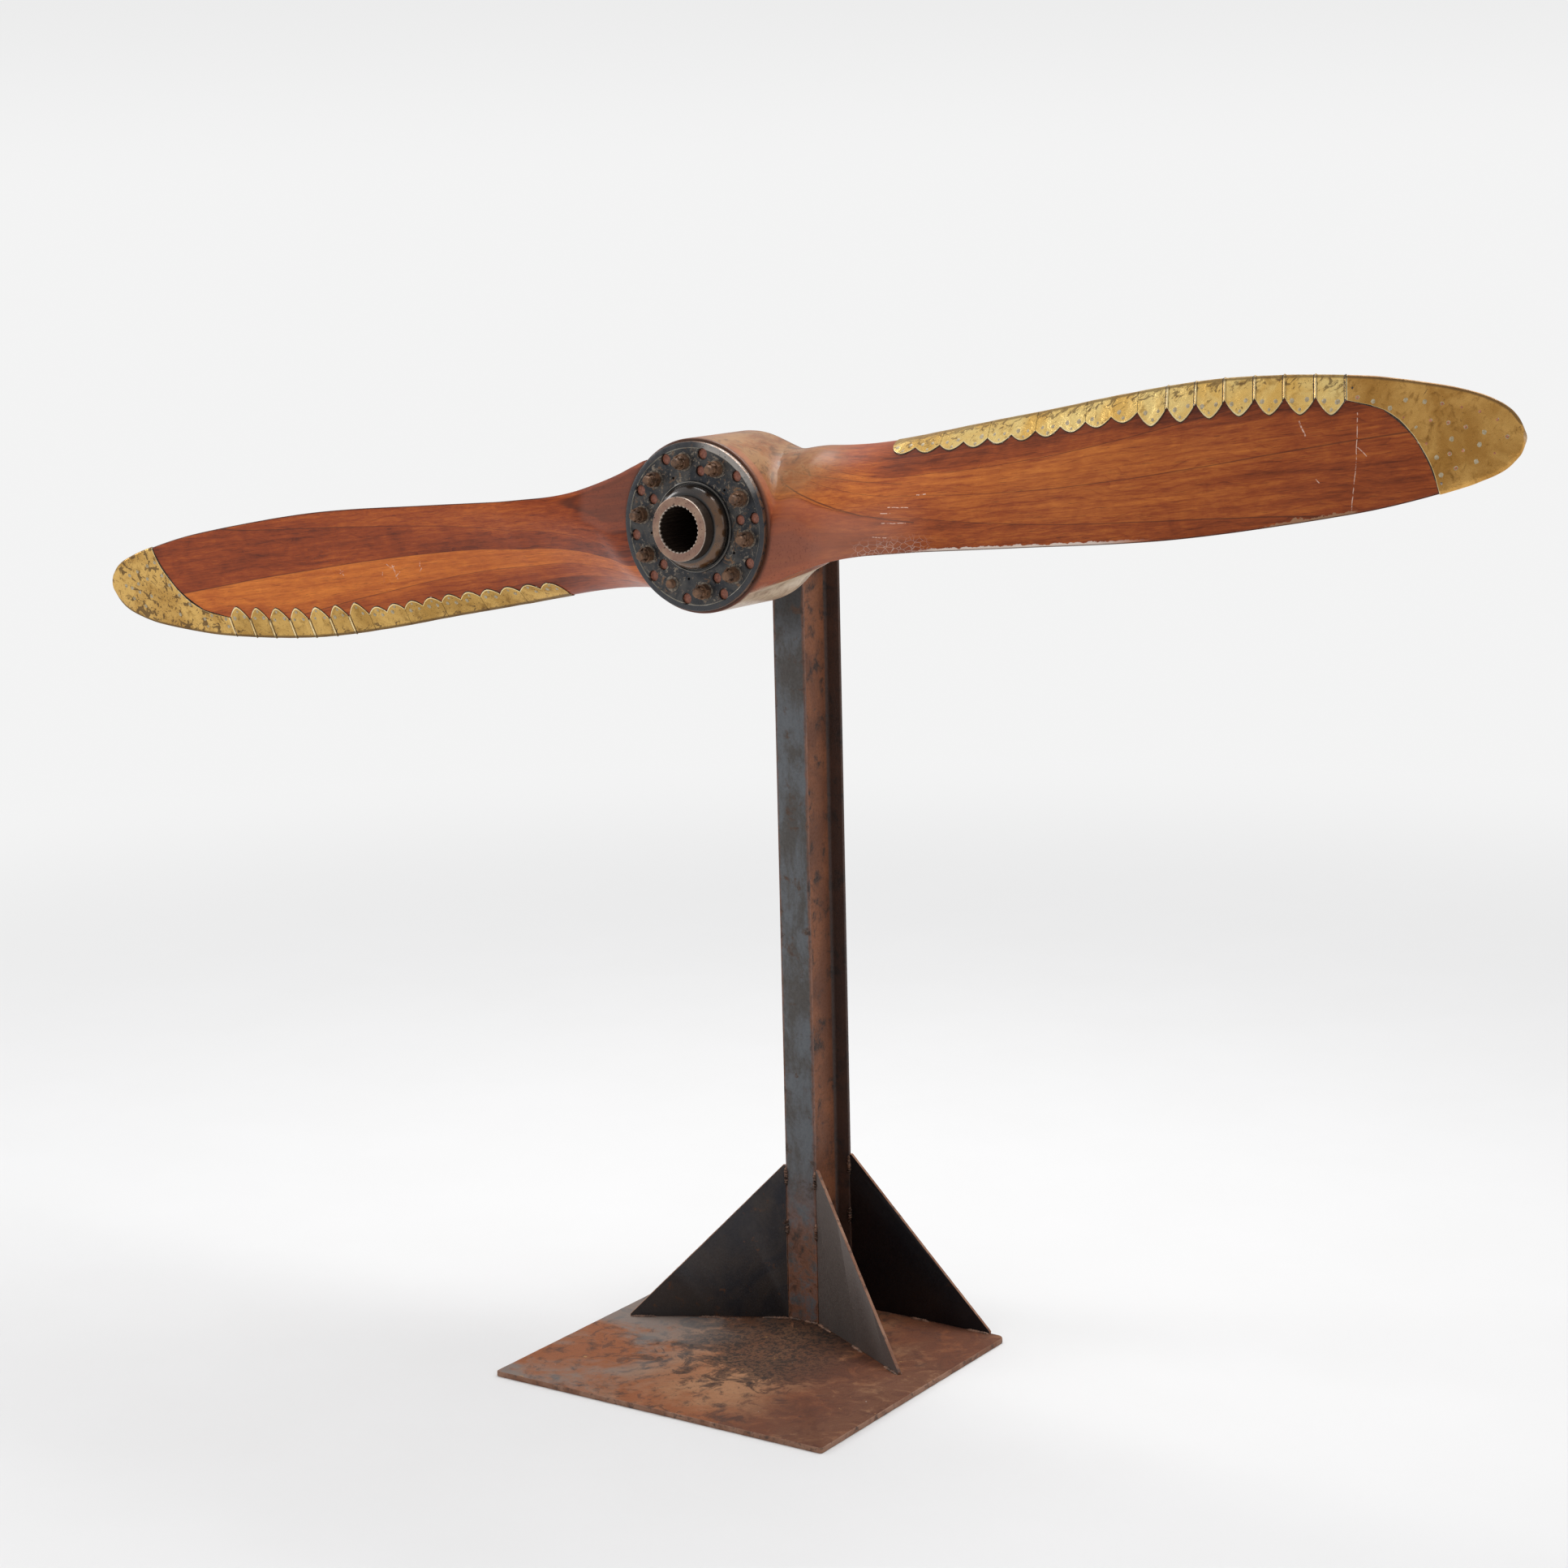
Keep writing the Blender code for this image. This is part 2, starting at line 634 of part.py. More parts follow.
def strip_mesh(stations, side):
    """A folded brass strip over the leading edge, from (x, depth) stations."""
    build = bmesh.new()
    layers = []
    for lift in (BRASS_GAP, BRASS_GAP + BRASS_THICKNESS):
        rings = []
        for x, depth in stations:
            ring = edge_ring(x, depth, lift)
            rings.append([build.verts.new(in_blade_frame(point, side)) for point in ring])
        layers.append(rings)
    inner, outer = layers
    count = len(inner[0])
    for k in range(len(stations) - 1):
        for j in range(count - 1):
            for layer in layers:
                corners = (layer[k][j], layer[k][j + 1], layer[k + 1][j + 1], layer[k + 1][j])
                build.faces.new(corners)
        for j in (0, count - 1):
            build.faces.new((inner[k][j], outer[k][j], outer[k + 1][j], inner[k + 1][j]))
    for k in (0, len(stations) - 1):
        for j in range(count - 1):
            build.faces.new((inner[k][j], inner[k][j + 1], outer[k][j + 1], outer[k][j]))
    return build


def strip_rows(low, high, tabs, tip_depth):
    """Stations of a strip with a row of tabs between x = low and x = high."""
    gap = SEAM_HALF / TIP_RADIUS
    step = (high - low) / tabs
    rows = []
    for k in range(tabs):
        rows.append((low + k * step + (gap if k == 0 else 0), VALLEY_DEPTH))
        rows.append((low + (k + 0.5) * step, tip_depth))
    rows.append((high - gap, VALLEY_DEPTH))
    return rows


def make_strips(side, brass):
    ends = STRIP_ENDS[side]
    made = []
    for number, (low, high) in enumerate(zip(ends, ends[1:]), 1):
        build = strip_mesh(strip_rows(low, high, 2, SCALLOP_DEPTH), side)
        made.append(finished(f"edge_brass_{side}_{number}", build, brass, 40))
    ribs = (ends[-1], *RIBS[side])
    gap = SEAM_HALF / TIP_RADIUS
    rows = [(ribs[0] + gap, VALLEY_DEPTH)]
    for low, high in zip(ribs, ribs[1:]):
        rows += [((low + high) / 2, TAB_DEPTH), (high, VALLEY_DEPTH)]
    rows[-1] = (ribs[-1] - gap, VALLEY_DEPTH)
    made.append(finished(f"ribbed_brass_{side}", strip_mesh(rows, side), brass, 40))
    return made


def make_tip_sheath(side, brass):
    """The brass cap: a closed skin over the tip, with a slanted root edge."""
    build = bmesh.new()
    layers = []
    for lift in (BRASS_GAP, BRASS_GAP + BRASS_THICKNESS):
        rings = []
        for x, slant in cap_rings()[1:]:
            ring = ring_points(x, slant, lift)
            rings.append(ring)
        end = [point + Vector((lift + TIP_CLEARANCE, 0, 0)) for point in rings[-1]]
        rings[-1] = end
        placed = [[build.verts.new(in_blade_frame(p, side)) for p in ring] for ring in rings]
        for first, second in zip(placed, placed[1:]):
            ring_faces(build, first, second)
        build.faces.new(placed[-1])
        layers.append(placed)
    ring_faces(build, layers[0][0], layers[1][0])
    return finished(f"tip_brass_{side}", build, brass, 40)


def make_base_plate(steel):
    outline = []
    for start, sign_x, sign_y in ((0, 1, 1), (90, -1, 1), (180, -1, -1), (270, 1, -1)):
        radius = PLATE_CUT_CORNER if start == 0 else PLATE_CORNER
        centre = (sign_x * (PLATE_WIDTH / 2 - radius), sign_y * (PLATE_DEPTH / 2 - radius))
        outline += arc(centre, radius, start, start + 90, 3)
    return finished("base_plate", prism(outline, 0.0, PLATE_THICKNESS), steel)


def column_outline():
    """An I section with round roots, in (x, y)."""
    half_b = COLUMN_BREADTH / 2
    half_w = WEB_THICKNESS / 2
    low = COLUMN_FRONT + FLANGE_THICKNESS
    high = COLUMN_BACK - FLANGE_THICKNESS
    root = ROOT_FILLET
    points = [(-half_b, COLUMN_FRONT), (half_b, COLUMN_FRONT), (half_b, low)]
    points += arc((half_w + root, low + root), root, 270, 180, 3)
    points += arc((half_w + root, high - root), root, 180, 90, 3)
    points += [(half_b, high), (half_b, COLUMN_BACK), (-half_b, COLUMN_BACK), (-half_b, high)]
    points += arc((-half_w - root, high - root), root, 90, 0, 3)
    points += arc((-half_w - root, low + root), root, 0, -90, 3)
    points += [(-half_b, low)]
    return [(x + COLUMN_X, y) for x, y in points]


def make_column(steel):
    build = prism(column_outline(), PLATE_TOP + SEAT_GAP, COLUMN_TOP)
    return finished("column", build, steel, 40)


def make_gusset(name, sign, direction, y_at_flange, steel):
    """A triangular plate that stands on the base plate and leans on a flange tip."""
    along = Vector((sign * math.cos(direction), -math.sin(direction), 0))
    across = Vector((-along.y, along.x, 0))
    clear = SEAT_GAP + GUSSET_THICKNESS / 2 * abs(across.x)
    start = Vector((COLUMN_X + sign * (COLUMN_BREADTH / 2 + clear), y_at_flange, 0))
    low = PLATE_TOP + SEAT_GAP
    profile = [
        (0.0, low), (GUSSET_LENGTH, low), (GUSSET_LENGTH, low + GUSSET_TOE),
        (GUSSET_TOE, low + GUSSET_HEIGHT), (0.0, low + GUSSET_HEIGHT),
    ]
    build = bmesh.new()
    sides = []
    for shift in (-0.5, 0.5):
        side = []
        for reach, z in profile:
            spot = start + along * reach + across * shift * GUSSET_THICKNESS
            side.append(build.verts.new((spot.x, spot.y, z)))
        sides.append(side)
    ring_faces(build, *sides)
    build.faces.new(sides[0])
    build.faces.new(sides[1])
    return finished(name, build, steel)


def make_gussets(steel):
    front = COLUMN_FRONT + FLANGE_THICKNESS / 2
    rear = COLUMN_BACK - GUSSET_THICKNESS / 2
    return [
        make_gusset("gusset_front_left", -1, GUSSET_SPLAY, front, steel),
        make_gusset("gusset_front_right", 1, GUSSET_SPLAY, front, steel),
        make_gusset("gusset_rear_left", -1, 0.0, rear, steel),
        make_gusset("gusset_rear_right", 1, 0.0, rear, steel),
    ]


def make_head_plate(steel):
    rear = COLUMN_FRONT - SEAT_GAP
    front = rear - HEAD_PLATE_THICKNESS
    left = COLUMN_X - COLUMN_BREADTH / 2
    right = COLUMN_X + COLUMN_BREADTH / 2
    outline = [(left, front), (right, front), (right, rear), (left, rear)]
    low = HUB_Z - HEAD_PLATE_HALF_HEIGHT
    return finished("head_plate", prism(outline, low, HUB_Z + HEAD_PLATE_HALF_HEIGHT), steel)


def make_spindle(steel):
    """The stub shaft that the hub hangs on, with a shoulder behind the hub."""
    rear = COLUMN_FRONT - 2 * SEAT_GAP - HEAD_PLATE_THICKNESS
    shoulder = BARREL_TAIL + SHOULDER_GAP
    profile = [
        (SPINDLE_RADIUS - SPINDLE_CHAMFER, SPINDLE_FRONT),
        (SPINDLE_RADIUS, SPINDLE_FRONT + SPINDLE_CHAMFER),
        (SPINDLE_RADIUS, shoulder), (COLLAR_RADIUS, shoulder), (COLLAR_RADIUS, rear),
    ]
    made = finished("spindle", turned(profile, ROUND_STEPS), steel, 35)
    made.data.transform(Matrix.Translation((HUB_X, 0, HUB_Z)))
    return made


def set_origin_on_axis(made, parent):
    """Hangs a rotor piece on the empty that stands on the joint's axis."""
    made.data.transform(Matrix.Translation((-HUB_X, 0, -HUB_Z)))
    made.parent = parent


def main():
    clear_scene()
    wood = material("varnished_wood", (0.30, 0.10, 0.04), 0.25, 0.0)
    brass = material("aged_brass", (0.50, 0.38, 0.16), 0.40, 1.0)
    dark_steel = material("oiled_steel", (0.05, 0.06, 0.07), 0.35, 0.9)
    worn_steel = material("worn_steel", (0.32, 0.29, 0.25), 0.40, 1.0)
    rusty_steel = material("rusty_fastenings", (0.14, 0.09, 0.06), 0.70, 0.7)
    plate_steel = material("rusty_plate", (0.30, 0.13, 0.06), 0.85, 0.2)
    column_steel = material("rolled_steel", (0.11, 0.10, 0.10), 0.55, 0.6)
    gusset_steel = material("gusset_steel", (0.06, 0.07, 0.08), 0.50, 0.6)

    make_base_plate(plate_steel)
    make_column(column_steel)
    make_gussets(gusset_steel)
    make_head_plate(column_steel)
    make_spindle(dark_steel)

    axis = bpy.data.objects.new("propeller_axis", None)
    bpy.context.scene.collection.objects.link(axis)
    axis.location = (HUB_X, 0, HUB_Z)
    turning = [make_propeller(wood), make_front_flange(dark_steel)]
    turning += [make_rear_flange(dark_steel), make_barrel(worn_steel)]
    for k in range(BOLT_COUNT):
        turning.append(make_bolt(k, rusty_steel))
        if k != BARE_BOLT:
            turning.append(make_nut(k, rusty_steel))
    for side in SIDE_TURN:
        turning += make_strips(side, brass)
        turning.append(make_tip_sheath(side, brass))
    cutters = [made for made in bpy.data.objects if made.hide_render]
    for made in turning + cutters:
        set_origin_on_axis(made, axis)


main()
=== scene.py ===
# %% [markdown]
# # An antique wooden aircraft propeller on a display stand
#
# The real object is a two-blade propeller, glued from walnut boards and carved by
# hand, with brass along its leading edges and tips. It hangs by its steel hub on a
# welded stand of rolled steel. The solids come in as a fixed frame, and this lesson
# dresses them: each piece is built finer than its solid and given its finish.
#
# Everything is in metres with +Z up, in the frame of the solids.

# %% Load the frame
import functools
import json
import math
import random

import bmesh
import bpy
import numpy as np
from mathutils import Matrix, Vector, noise
from mathutils.bvhtree import BVHTree

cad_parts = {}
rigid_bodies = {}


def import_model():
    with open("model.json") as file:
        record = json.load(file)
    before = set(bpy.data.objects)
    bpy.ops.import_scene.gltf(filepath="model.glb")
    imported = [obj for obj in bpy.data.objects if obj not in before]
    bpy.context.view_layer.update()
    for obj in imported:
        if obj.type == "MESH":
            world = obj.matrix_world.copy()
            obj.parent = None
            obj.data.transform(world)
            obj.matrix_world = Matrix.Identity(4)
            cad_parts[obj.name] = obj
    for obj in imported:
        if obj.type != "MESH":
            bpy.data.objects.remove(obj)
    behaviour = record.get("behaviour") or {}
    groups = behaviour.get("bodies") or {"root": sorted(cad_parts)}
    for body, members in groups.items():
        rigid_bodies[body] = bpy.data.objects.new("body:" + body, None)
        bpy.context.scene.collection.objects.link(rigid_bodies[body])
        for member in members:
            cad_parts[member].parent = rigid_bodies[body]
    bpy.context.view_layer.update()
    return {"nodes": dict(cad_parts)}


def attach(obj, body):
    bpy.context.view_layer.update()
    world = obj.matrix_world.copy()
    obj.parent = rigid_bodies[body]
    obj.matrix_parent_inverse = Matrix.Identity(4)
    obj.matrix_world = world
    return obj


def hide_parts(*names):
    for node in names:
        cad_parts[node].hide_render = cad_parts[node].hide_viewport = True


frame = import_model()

# %% [markdown]
# ## The camera
#
# The photograph was taken with a longish lens from the right and from a little above
# the hub. The camera could be placed by eye, but the stand's straight edges fix it
# much better: its corners were fitted, and the numbers below are that fit. A turn by
# yaw, pitch and roll is easier to read than a matrix, so the axes are built from it.

# %% Camera at the photograph's viewpoint
CAMERA_PLACE = Vector((3.16484, -4.51281, 2.10097))
CAMERA_YAW, CAMERA_PITCH, CAMERA_ROLL = 0.5971, 0.1869, -0.0231
LENS_MM, SENSOR_MM = 73.51, 36.0


def camera_axes():
    """The camera's right, up and backward directions."""
    flat = math.cos(CAMERA_PITCH)
    ahead = Vector((-math.sin(CAMERA_YAW) * flat, math.cos(CAMERA_YAW) * flat, -math.sin(CAMERA_PITCH)))
    level = Vector((math.cos(CAMERA_YAW), math.sin(CAMERA_YAW), 0))
    over = level.cross(ahead)
    c, s = math.cos(CAMERA_ROLL), math.sin(CAMERA_ROLL)
    return c * level + s * over, c * over - s * level, -ahead


camera_data = bpy.data.cameras.new("studio_camera")
camera_data.lens, camera_data.sensor_width = LENS_MM, SENSOR_MM
camera_data.clip_end = 200
camera = bpy.data.objects.new("studio_camera", camera_data)
bpy.context.scene.collection.objects.link(camera)
turn = Matrix(camera_axes()).transposed().to_4x4()
camera.matrix_world = Matrix.Translation(CAMERA_PLACE) @ turn
bpy.context.scene.camera = camera
print("camera stands", round(CAMERA_PLACE.length, 2), "m from the origin")

# %% [markdown]
# ## Building finishes from nodes
#
# Each finish is a small graph of texture nodes. Writing every node out by hand takes
# many lines, so short helpers make a node, a noise, a sum or a colour mix, and join it
# to what feeds it. All textures read the object's own coordinates, so the grain and
# the rust stay on the piece when the propeller turns.

# %% Node helpers
def feed(tree, node, inputs):
    """Links or fills inputs of a node."""
    for key, value in inputs.items():
        if isinstance(value, bpy.types.NodeSocket):
            tree.links.new(value, node.inputs[key])
        else:
            node.inputs[key].default_value = value


def add(tree, kind, inputs=None, **settings):
    """Adds a shader node, sets it up and feeds its inputs."""
    made = tree.nodes.new("ShaderNode" + kind)
    for key, value in settings.items():
        setattr(made, key, value)
    feed(tree, made, inputs or {})
    return made


def cloud(tree, place, scale, detail=4.0, roughness=0.55, distortion=0.0):
    """A soft noise from about 0 to 1."""
    inputs = {"Vector": place, "Scale": scale, "Detail": detail}
    inputs.update({"Roughness": roughness, "Distortion": distortion})
    return add(tree, "TexNoise", inputs).outputs["Fac"]


def calc(tree, operation, first, second=0.0, third=0.0):
    inputs = {0: first, 1: second, 2: third}
    return add(tree, "Math", inputs, operation=operation).outputs[0]


def reckon(tree, operation, *vectors):
    """A sum of vectors. Lengths, distances and dot products come out as numbers."""
    made = add(tree, "VectorMath", dict(enumerate(vectors)), operation=operation)
    return made.outputs["Value" if operation in ("LENGTH", "DISTANCE", "DOT_PRODUCT") else "Vector"]


def axes(tree, vector):
    return add(tree, "SeparateXYZ", {0: vector}).outputs


def between(tree, value, low, high, start=0.0, end=1.0):
    """Maps low..high to start..end with soft shoulders."""
    inputs = {"Value": value, "From Min": low, "From Max": high, "To Min": start, "To Max": end}
    return add(tree, "MapRange", inputs, interpolation_type="SMOOTHSTEP").outputs[0]


def blend(tree, share, first, second, mode="MIX"):
    """A colour between two colours."""
    inputs = {0: share, 6: first, 7: second}
    return add(tree, "Mix", inputs, data_type="RGBA", blend_type=mode).outputs[2]


def shade(red, green, blue):
    return (red, green, blue, 1.0)


def tint(tree, color, tone, mask, strength=1.0):
    """The colour with a tone laid over it where the mask is high."""
    if strength != 1.0:
        mask = calc(tree, "MULTIPLY", mask, strength)
    return blend(tree, mask, color, shade(*tone))


def layered(tree, color, *layers):
    """The colour with tones laid over it in turn, each as (tone, mask, strength)."""
    for layer in layers:
        color = tint(tree, color, *layer)
    return color


def mottled(tree, value, low, high, first, second):
    """A tone that turns into a second one as the value rises from low to high."""
    return blend(tree, between(tree, value, low, high), shade(*first), shade(*second))


def swayed(tree, value, noise_value, amount):
    """The value, raised and lowered by a noise that swings about a half."""
    return calc(tree, "MULTIPLY_ADD", calc(tree, "SUBTRACT", noise_value, 0.5), amount, value)


def start_finish(name):
    """A new finish: its tree, its shader and the piece's own coordinates."""
    finish = bpy.data.materials.new(name)
    finish.use_nodes = True
    tree = finish.node_tree
    shader = tree.nodes["Principled BSDF"]
    place = add(tree, "TexCoord").outputs["Object"]
    return finish, tree, shader, place


def stretched(tree, place, scale, shift=(0, 0, 0)):
    """The coordinates scaled by a different amount along each axis."""
    inputs = {"Vector": place, "Scale": scale, "Location": shift}
    return add(tree, "Mapping", inputs).outputs[0]


def emboss(tree, shader, height, distance, strength=1.0):
    bump = add(tree, "Bump", {"Height": height, "Distance": distance, "Strength": strength})
    tree.links.new(bump.outputs[0], shader.inputs["Normal"])


# %% [markdown]
# ## The studio
#
# The photograph has a seamless pale sweep. A real sweep curves up behind the object,
# but a wall would hide it in views from behind, so a large floor fades into an evenly
# lit world. A big soft lamp from the upper left gives the shape of the blades, and
# smaller ones make the bright edges on the hub and the brass.

# %% World, floor and lamps
FLOOR_RADIUS = 60.0
FADE_START, FADE_END = 1.3, 6.0
scene = bpy.context.scene
scene.view_settings.view_transform = "Standard"


def make_world():
    world = bpy.data.worlds.new("studio")
    world.use_nodes = True
    tree = world.node_tree
    back = tree.nodes["Background"]
    seen = add(tree, "LightPath").outputs["Is Camera Ray"]
    upward = axes(tree, add(tree, "TexCoord").outputs["Generated"])["Z"]
    fall = between(tree, upward, 0.0, 0.07)
    shown = blend(tree, fall, shade(0.90, 0.90, 0.90), shade(0.835, 0.835, 0.835))
    light = blend(tree, between(tree, upward, -0.2, 0.8), shade(0.42, 0.42, 0.42), shade(0.66, 0.66, 0.67))
    feed(tree, back, {"Color": blend(tree, seen, light, shown), "Strength": 1.0})
    scene.world = world


def as_object(build, name):
    """Turns a bmesh into an object of the scene."""
    mesh = bpy.data.meshes.new(name)
    build.to_mesh(mesh)
    build.free()
    made = bpy.data.objects.new(name, mesh)
    scene.collection.objects.link(made)
    return made


def make_floor():
    build = bmesh.new()
    bmesh.ops.create_circle(build, cap_ends=True, segments=96, radius=FLOOR_RADIUS)
    floor = as_object(build, "studio_floor")
    finish, tree, shader, place = start_finish("pale_floor")
    mottle = blend(tree, cloud(tree, place, 3.0, 5.0), shade(0.745, 0.745, 0.74), shade(0.775, 0.775, 0.775))
    feed(tree, shader, {"Base Color": mottle, "Roughness": 0.9, "Specular IOR Level": 0.1})
    glow = add(tree, "Emission", {"Color": shade(0.90, 0.90, 0.90), "Strength": 1.0})
    faded = between(tree, reckon(tree, "LENGTH", place), FADE_START, FADE_END)
    mixed = add(tree, "MixShader", {0: faded, 1: shader.outputs[0], 2: glow.outputs[0]})
    feed(tree, tree.nodes["Material Output"], {"Surface": mixed.outputs[0]})
    floor.data.materials.append(finish)


def add_lamp(name, place, target, size, power):
    lamp = bpy.data.lights.new(name, "AREA")
    lamp.shape, lamp.size, lamp.size_y = "RECTANGLE", size[0], size[1]
    lamp.energy = power
    hung = bpy.data.objects.new(name, lamp)
    scene.collection.objects.link(hung)
    hung.location = place
    hung.rotation_euler = (Vector(target) - Vector(place)).to_track_quat("-Z", "Y").to_euler()


make_world()
make_floor()
add_lamp("top_softbox", (0.2, 1.1, 4.7), (0, 0, 1.2), (3.4, 2.2), 150)
add_lamp("left_softbox", (-5.0, -1.8, 3.4), (0, 0, 1.2), (1.8, 2.2), 70)
add_lamp("right_fill", (5.2, 0.4, 2.6), (0.2, 0, 1.3), (1.4, 2.4), 11)
print("studio ready")

# %% [markdown]
# ## The propeller's shape
#
# A propeller blade is drawn as sections along its radius. Each section has a nearly
# flat face, a cambered back, a chord and an angle, and the angle follows a screw, so
# it is steep near the hub and shallow at the tip. Short tables hold the outline and
# the thickness, and a smooth curve joins their points. The same functions also carry
# the brass, which is why they return any point of the skin and not a whole mesh.

# %% Blade sections
HUB = Vector((-0.0087, 0.0, 1.5222))
TILT = math.radians(7.97)
TIP_RADIUS = 1.469
BOSS_RADIUS, BOSS_FRONT, BOSS_REAR = 0.150, -0.0905, 0.1060
LEADING_EDGE = (
    (0.02, 0.110), (0.10, 0.124), (0.20, 0.128), (0.30, 0.126),
    (0.42, 0.125), (0.54, 0.130), (0.60, 0.1315), (0.66, 0.130),
    (0.72, 0.123), (0.78, 0.1125), (0.84, 0.0985), (0.89, 0.081),
    (0.93, 0.0645), (0.95, 0.0535), (0.966, 0.042), (0.980, 0.0285),
    (0.988, 0.0165), (0.993, 0.004), (0.9955, -0.007), (0.9963, -0.0135),
    (0.9965, -0.0185),
)
TRAILING_EDGE = (
    (0.02, 0.150), (0.05, 0.166), (0.0595, 0.1705), (0.080, 0.1605),
    (0.104, 0.1461), (0.127, 0.1350), (0.150, 0.1257), (0.170, 0.1188),
    (0.190, 0.1140), (0.215, 0.1106), (0.25, 0.1088), (0.30, 0.1064),
    (0.42, 0.109), (0.54, 0.1155), (0.60, 0.117), (0.66, 0.1155),
    (0.72, 0.112), (0.78, 0.1075), (0.84, 0.101), (0.904, 0.088),
    (0.948, 0.075), (0.977, 0.060), (0.988, 0.047), (0.993, 0.0387),
    (0.9955, 0.0298), (0.9963, 0.024), (0.9965, 0.0195),
)
BACK_THICKNESS = (
    (0.02, 0.150), (0.09, 0.138), (0.13, 0.118), (0.17, 0.096),
    (0.22, 0.074), (0.30, 0.050), (0.45, 0.036), (0.60, 0.027),
    (0.75, 0.019), (0.90, 0.012), (1.0, 0.007),
)
FACE_THICKNESS = (
    (0.02, 0.074), (0.13, 0.070), (0.16, 0.052), (0.204, 0.033),
    (0.27, 0.0175), (0.34, 0.009), (0.41, 0.005), (0.50, 0.0025), (1.0, 0.0016),
)
BACK_POWER = ((0.02, 1.15), (0.15, 1.15), (0.27, 1.7), (1.0, 1.7))
PITCH_AT_70, PITCH_SLOPE = 1.818, -0.534
ROOT_ANGLE, ANGLE_BLEND = math.radians(44.0), 10.0
FACE_AT_60, FACE_SLOPE, FACE_CURVE = -0.0360, -0.0249, 0.0274
EDGE_FRONT_LIMIT = -0.0892
THICKEST_AT, FACE_POWER = 0.40, 2.4
TRAILING_HALF_THICKNESS = 0.0014
FRONT_SOFTNESS = 0.008
SIDE_TURN = {"right": 0.0, "left": math.pi}


def curve_value(table, x):
    """Reads a smooth curve through (x, value) points with no overshoot."""
    xs = np.array([row[0] for row in table])
    ys = np.array([row[1] for row in table])
    steps = np.diff(xs)
    slopes = np.diff(ys) / steps
    tangents = np.concatenate([[slopes[0]], (slopes[1:] + slopes[:-1]) / 2, [slopes[-1]]])
    tangents[1:-1][slopes[1:] * slopes[:-1] <= 0] = 0.0
    spot = int(np.clip(np.searchsorted(xs, x) - 1, 0, len(steps) - 1))
    width = steps[spot]
    t = float(np.clip((x - xs[spot]) / width, 0.0, 1.0))
    value = (2 * t**3 - 3 * t**2 + 1) * ys[spot] + (3 * t**2 - 2 * t**3) * ys[spot + 1]
    value += (t**3 - 2 * t**2 + t) * tangents[spot] * width + (t**3 - t**2) * tangents[spot + 1] * width
    return float(value)


@functools.lru_cache(maxsize=None)
def station(x):
    """All that describes the blade's section at x, a share of the tip radius."""
    pitch = PITCH_AT_70 + PITCH_SLOPE * (x - 0.7)
    screw = math.atan(pitch / (2 * math.pi * x * TIP_RADIUS))
    angle = (screw**-ANGLE_BLEND + ROOT_ANGLE**-ANGLE_BLEND) ** (-1 / ANGLE_BLEND)
    leading, trailing = curve_value(LEADING_EDGE, x), curve_value(TRAILING_EDGE, x)
    free = FACE_AT_60 + FACE_SLOPE * (x - 0.6) + FACE_CURVE * (x - 0.6) ** 2
    middle = max(free, EDGE_FRONT_LIMIT + trailing * math.sin(angle))
    back, flat = curve_value(BACK_THICKNESS, x), curve_value(FACE_THICKNESS, x)
    return leading, trailing, back, flat, curve_value(BACK_POWER, x), angle, middle


def bulge(share, power):
    """Height of the skin over the chord, from 0 to 1, at a share from LE to TE.

    power shapes the rear part of the cambered back, and the flat face has none.
    """
    if share < THICKEST_AT:
        v = 1 - share / THICKEST_AT
        return math.sqrt(max(0.0, 1 - v * v))
    v = (share - THICKEST_AT) / (1 - THICKEST_AT)
    if power is None:
        return max(0.0, 1 - v**FACE_POWER) ** 0.5
    return 1 - v**power


def section_height(share, thickness, power):
    """The height with a small round thickness kept at the trailing edge."""
    edge = math.sqrt(max(0.0, 1 - (2 * share - 1) ** 16))
    return thickness * bulge(share, power) + TRAILING_HALF_THICKNESS * edge * min(1.0, share * 2)


def skin_point(x, depth, face, lift=0.0):
    """A point (radius, across, Y) of the skin, depth behind the leading edge.

    face is 1 on the cambered back and -1 on the flat face, and lift moves the point
    out along the section's own normal.
    """
    leading, trailing, back, flat, back_power, angle, middle = station(x)
    chord = leading + trailing
    share = min(max(depth / chord, 0.0), 1.0)
    thickness = back if face > 0 else flat
    power = back_power if face > 0 else None
    step = 0.0005
    if share < step:
        normal = (1.0, 0.0)
    elif share > 1 - step:
        normal = (-1.0, 0.0)
    else:
        rise = section_height(share + step, thickness, power)
        rise -= section_height(share - step, thickness, power)
        size = math.hypot(rise, 2 * step * chord)
        normal = (rise / size, face * 2 * step * chord / size)
    height = face * section_height(share, thickness, power) + lift * normal[1]
    along = leading - share * chord + lift * normal[0]
    across = along * math.cos(angle) - height * math.sin(angle)
    y = middle + along * math.sin(angle) + height * math.cos(angle)
    near = max(FRONT_SOFTNESS - abs(y - BOSS_FRONT), 0.0) / FRONT_SOFTNESS
    y = max(y, BOSS_FRONT) + near * near * FRONT_SOFTNESS / 4
    return Vector((x * TIP_RADIUS, across, min(y, BOSS_REAR - 0.0006)))


def in_place(point, side):
    """From (radius, across, Y) of one blade to the frame of the solids."""
    turn_by = TILT + SIDE_TURN[side]
    c, s = math.cos(turn_by), math.sin(turn_by)
    return Vector((HUB.x + point[0] * c - point[1] * s, point[2], HUB.z + point[0] * s + point[1] * c))


chord_at_60, angle_at_60 = sum(station(0.6)[:2]), math.degrees(station(0.6)[5])
print("at 60% radius: chord", round(chord_at_60, 3), "m, angle", round(angle_at_60, 1), "degrees")

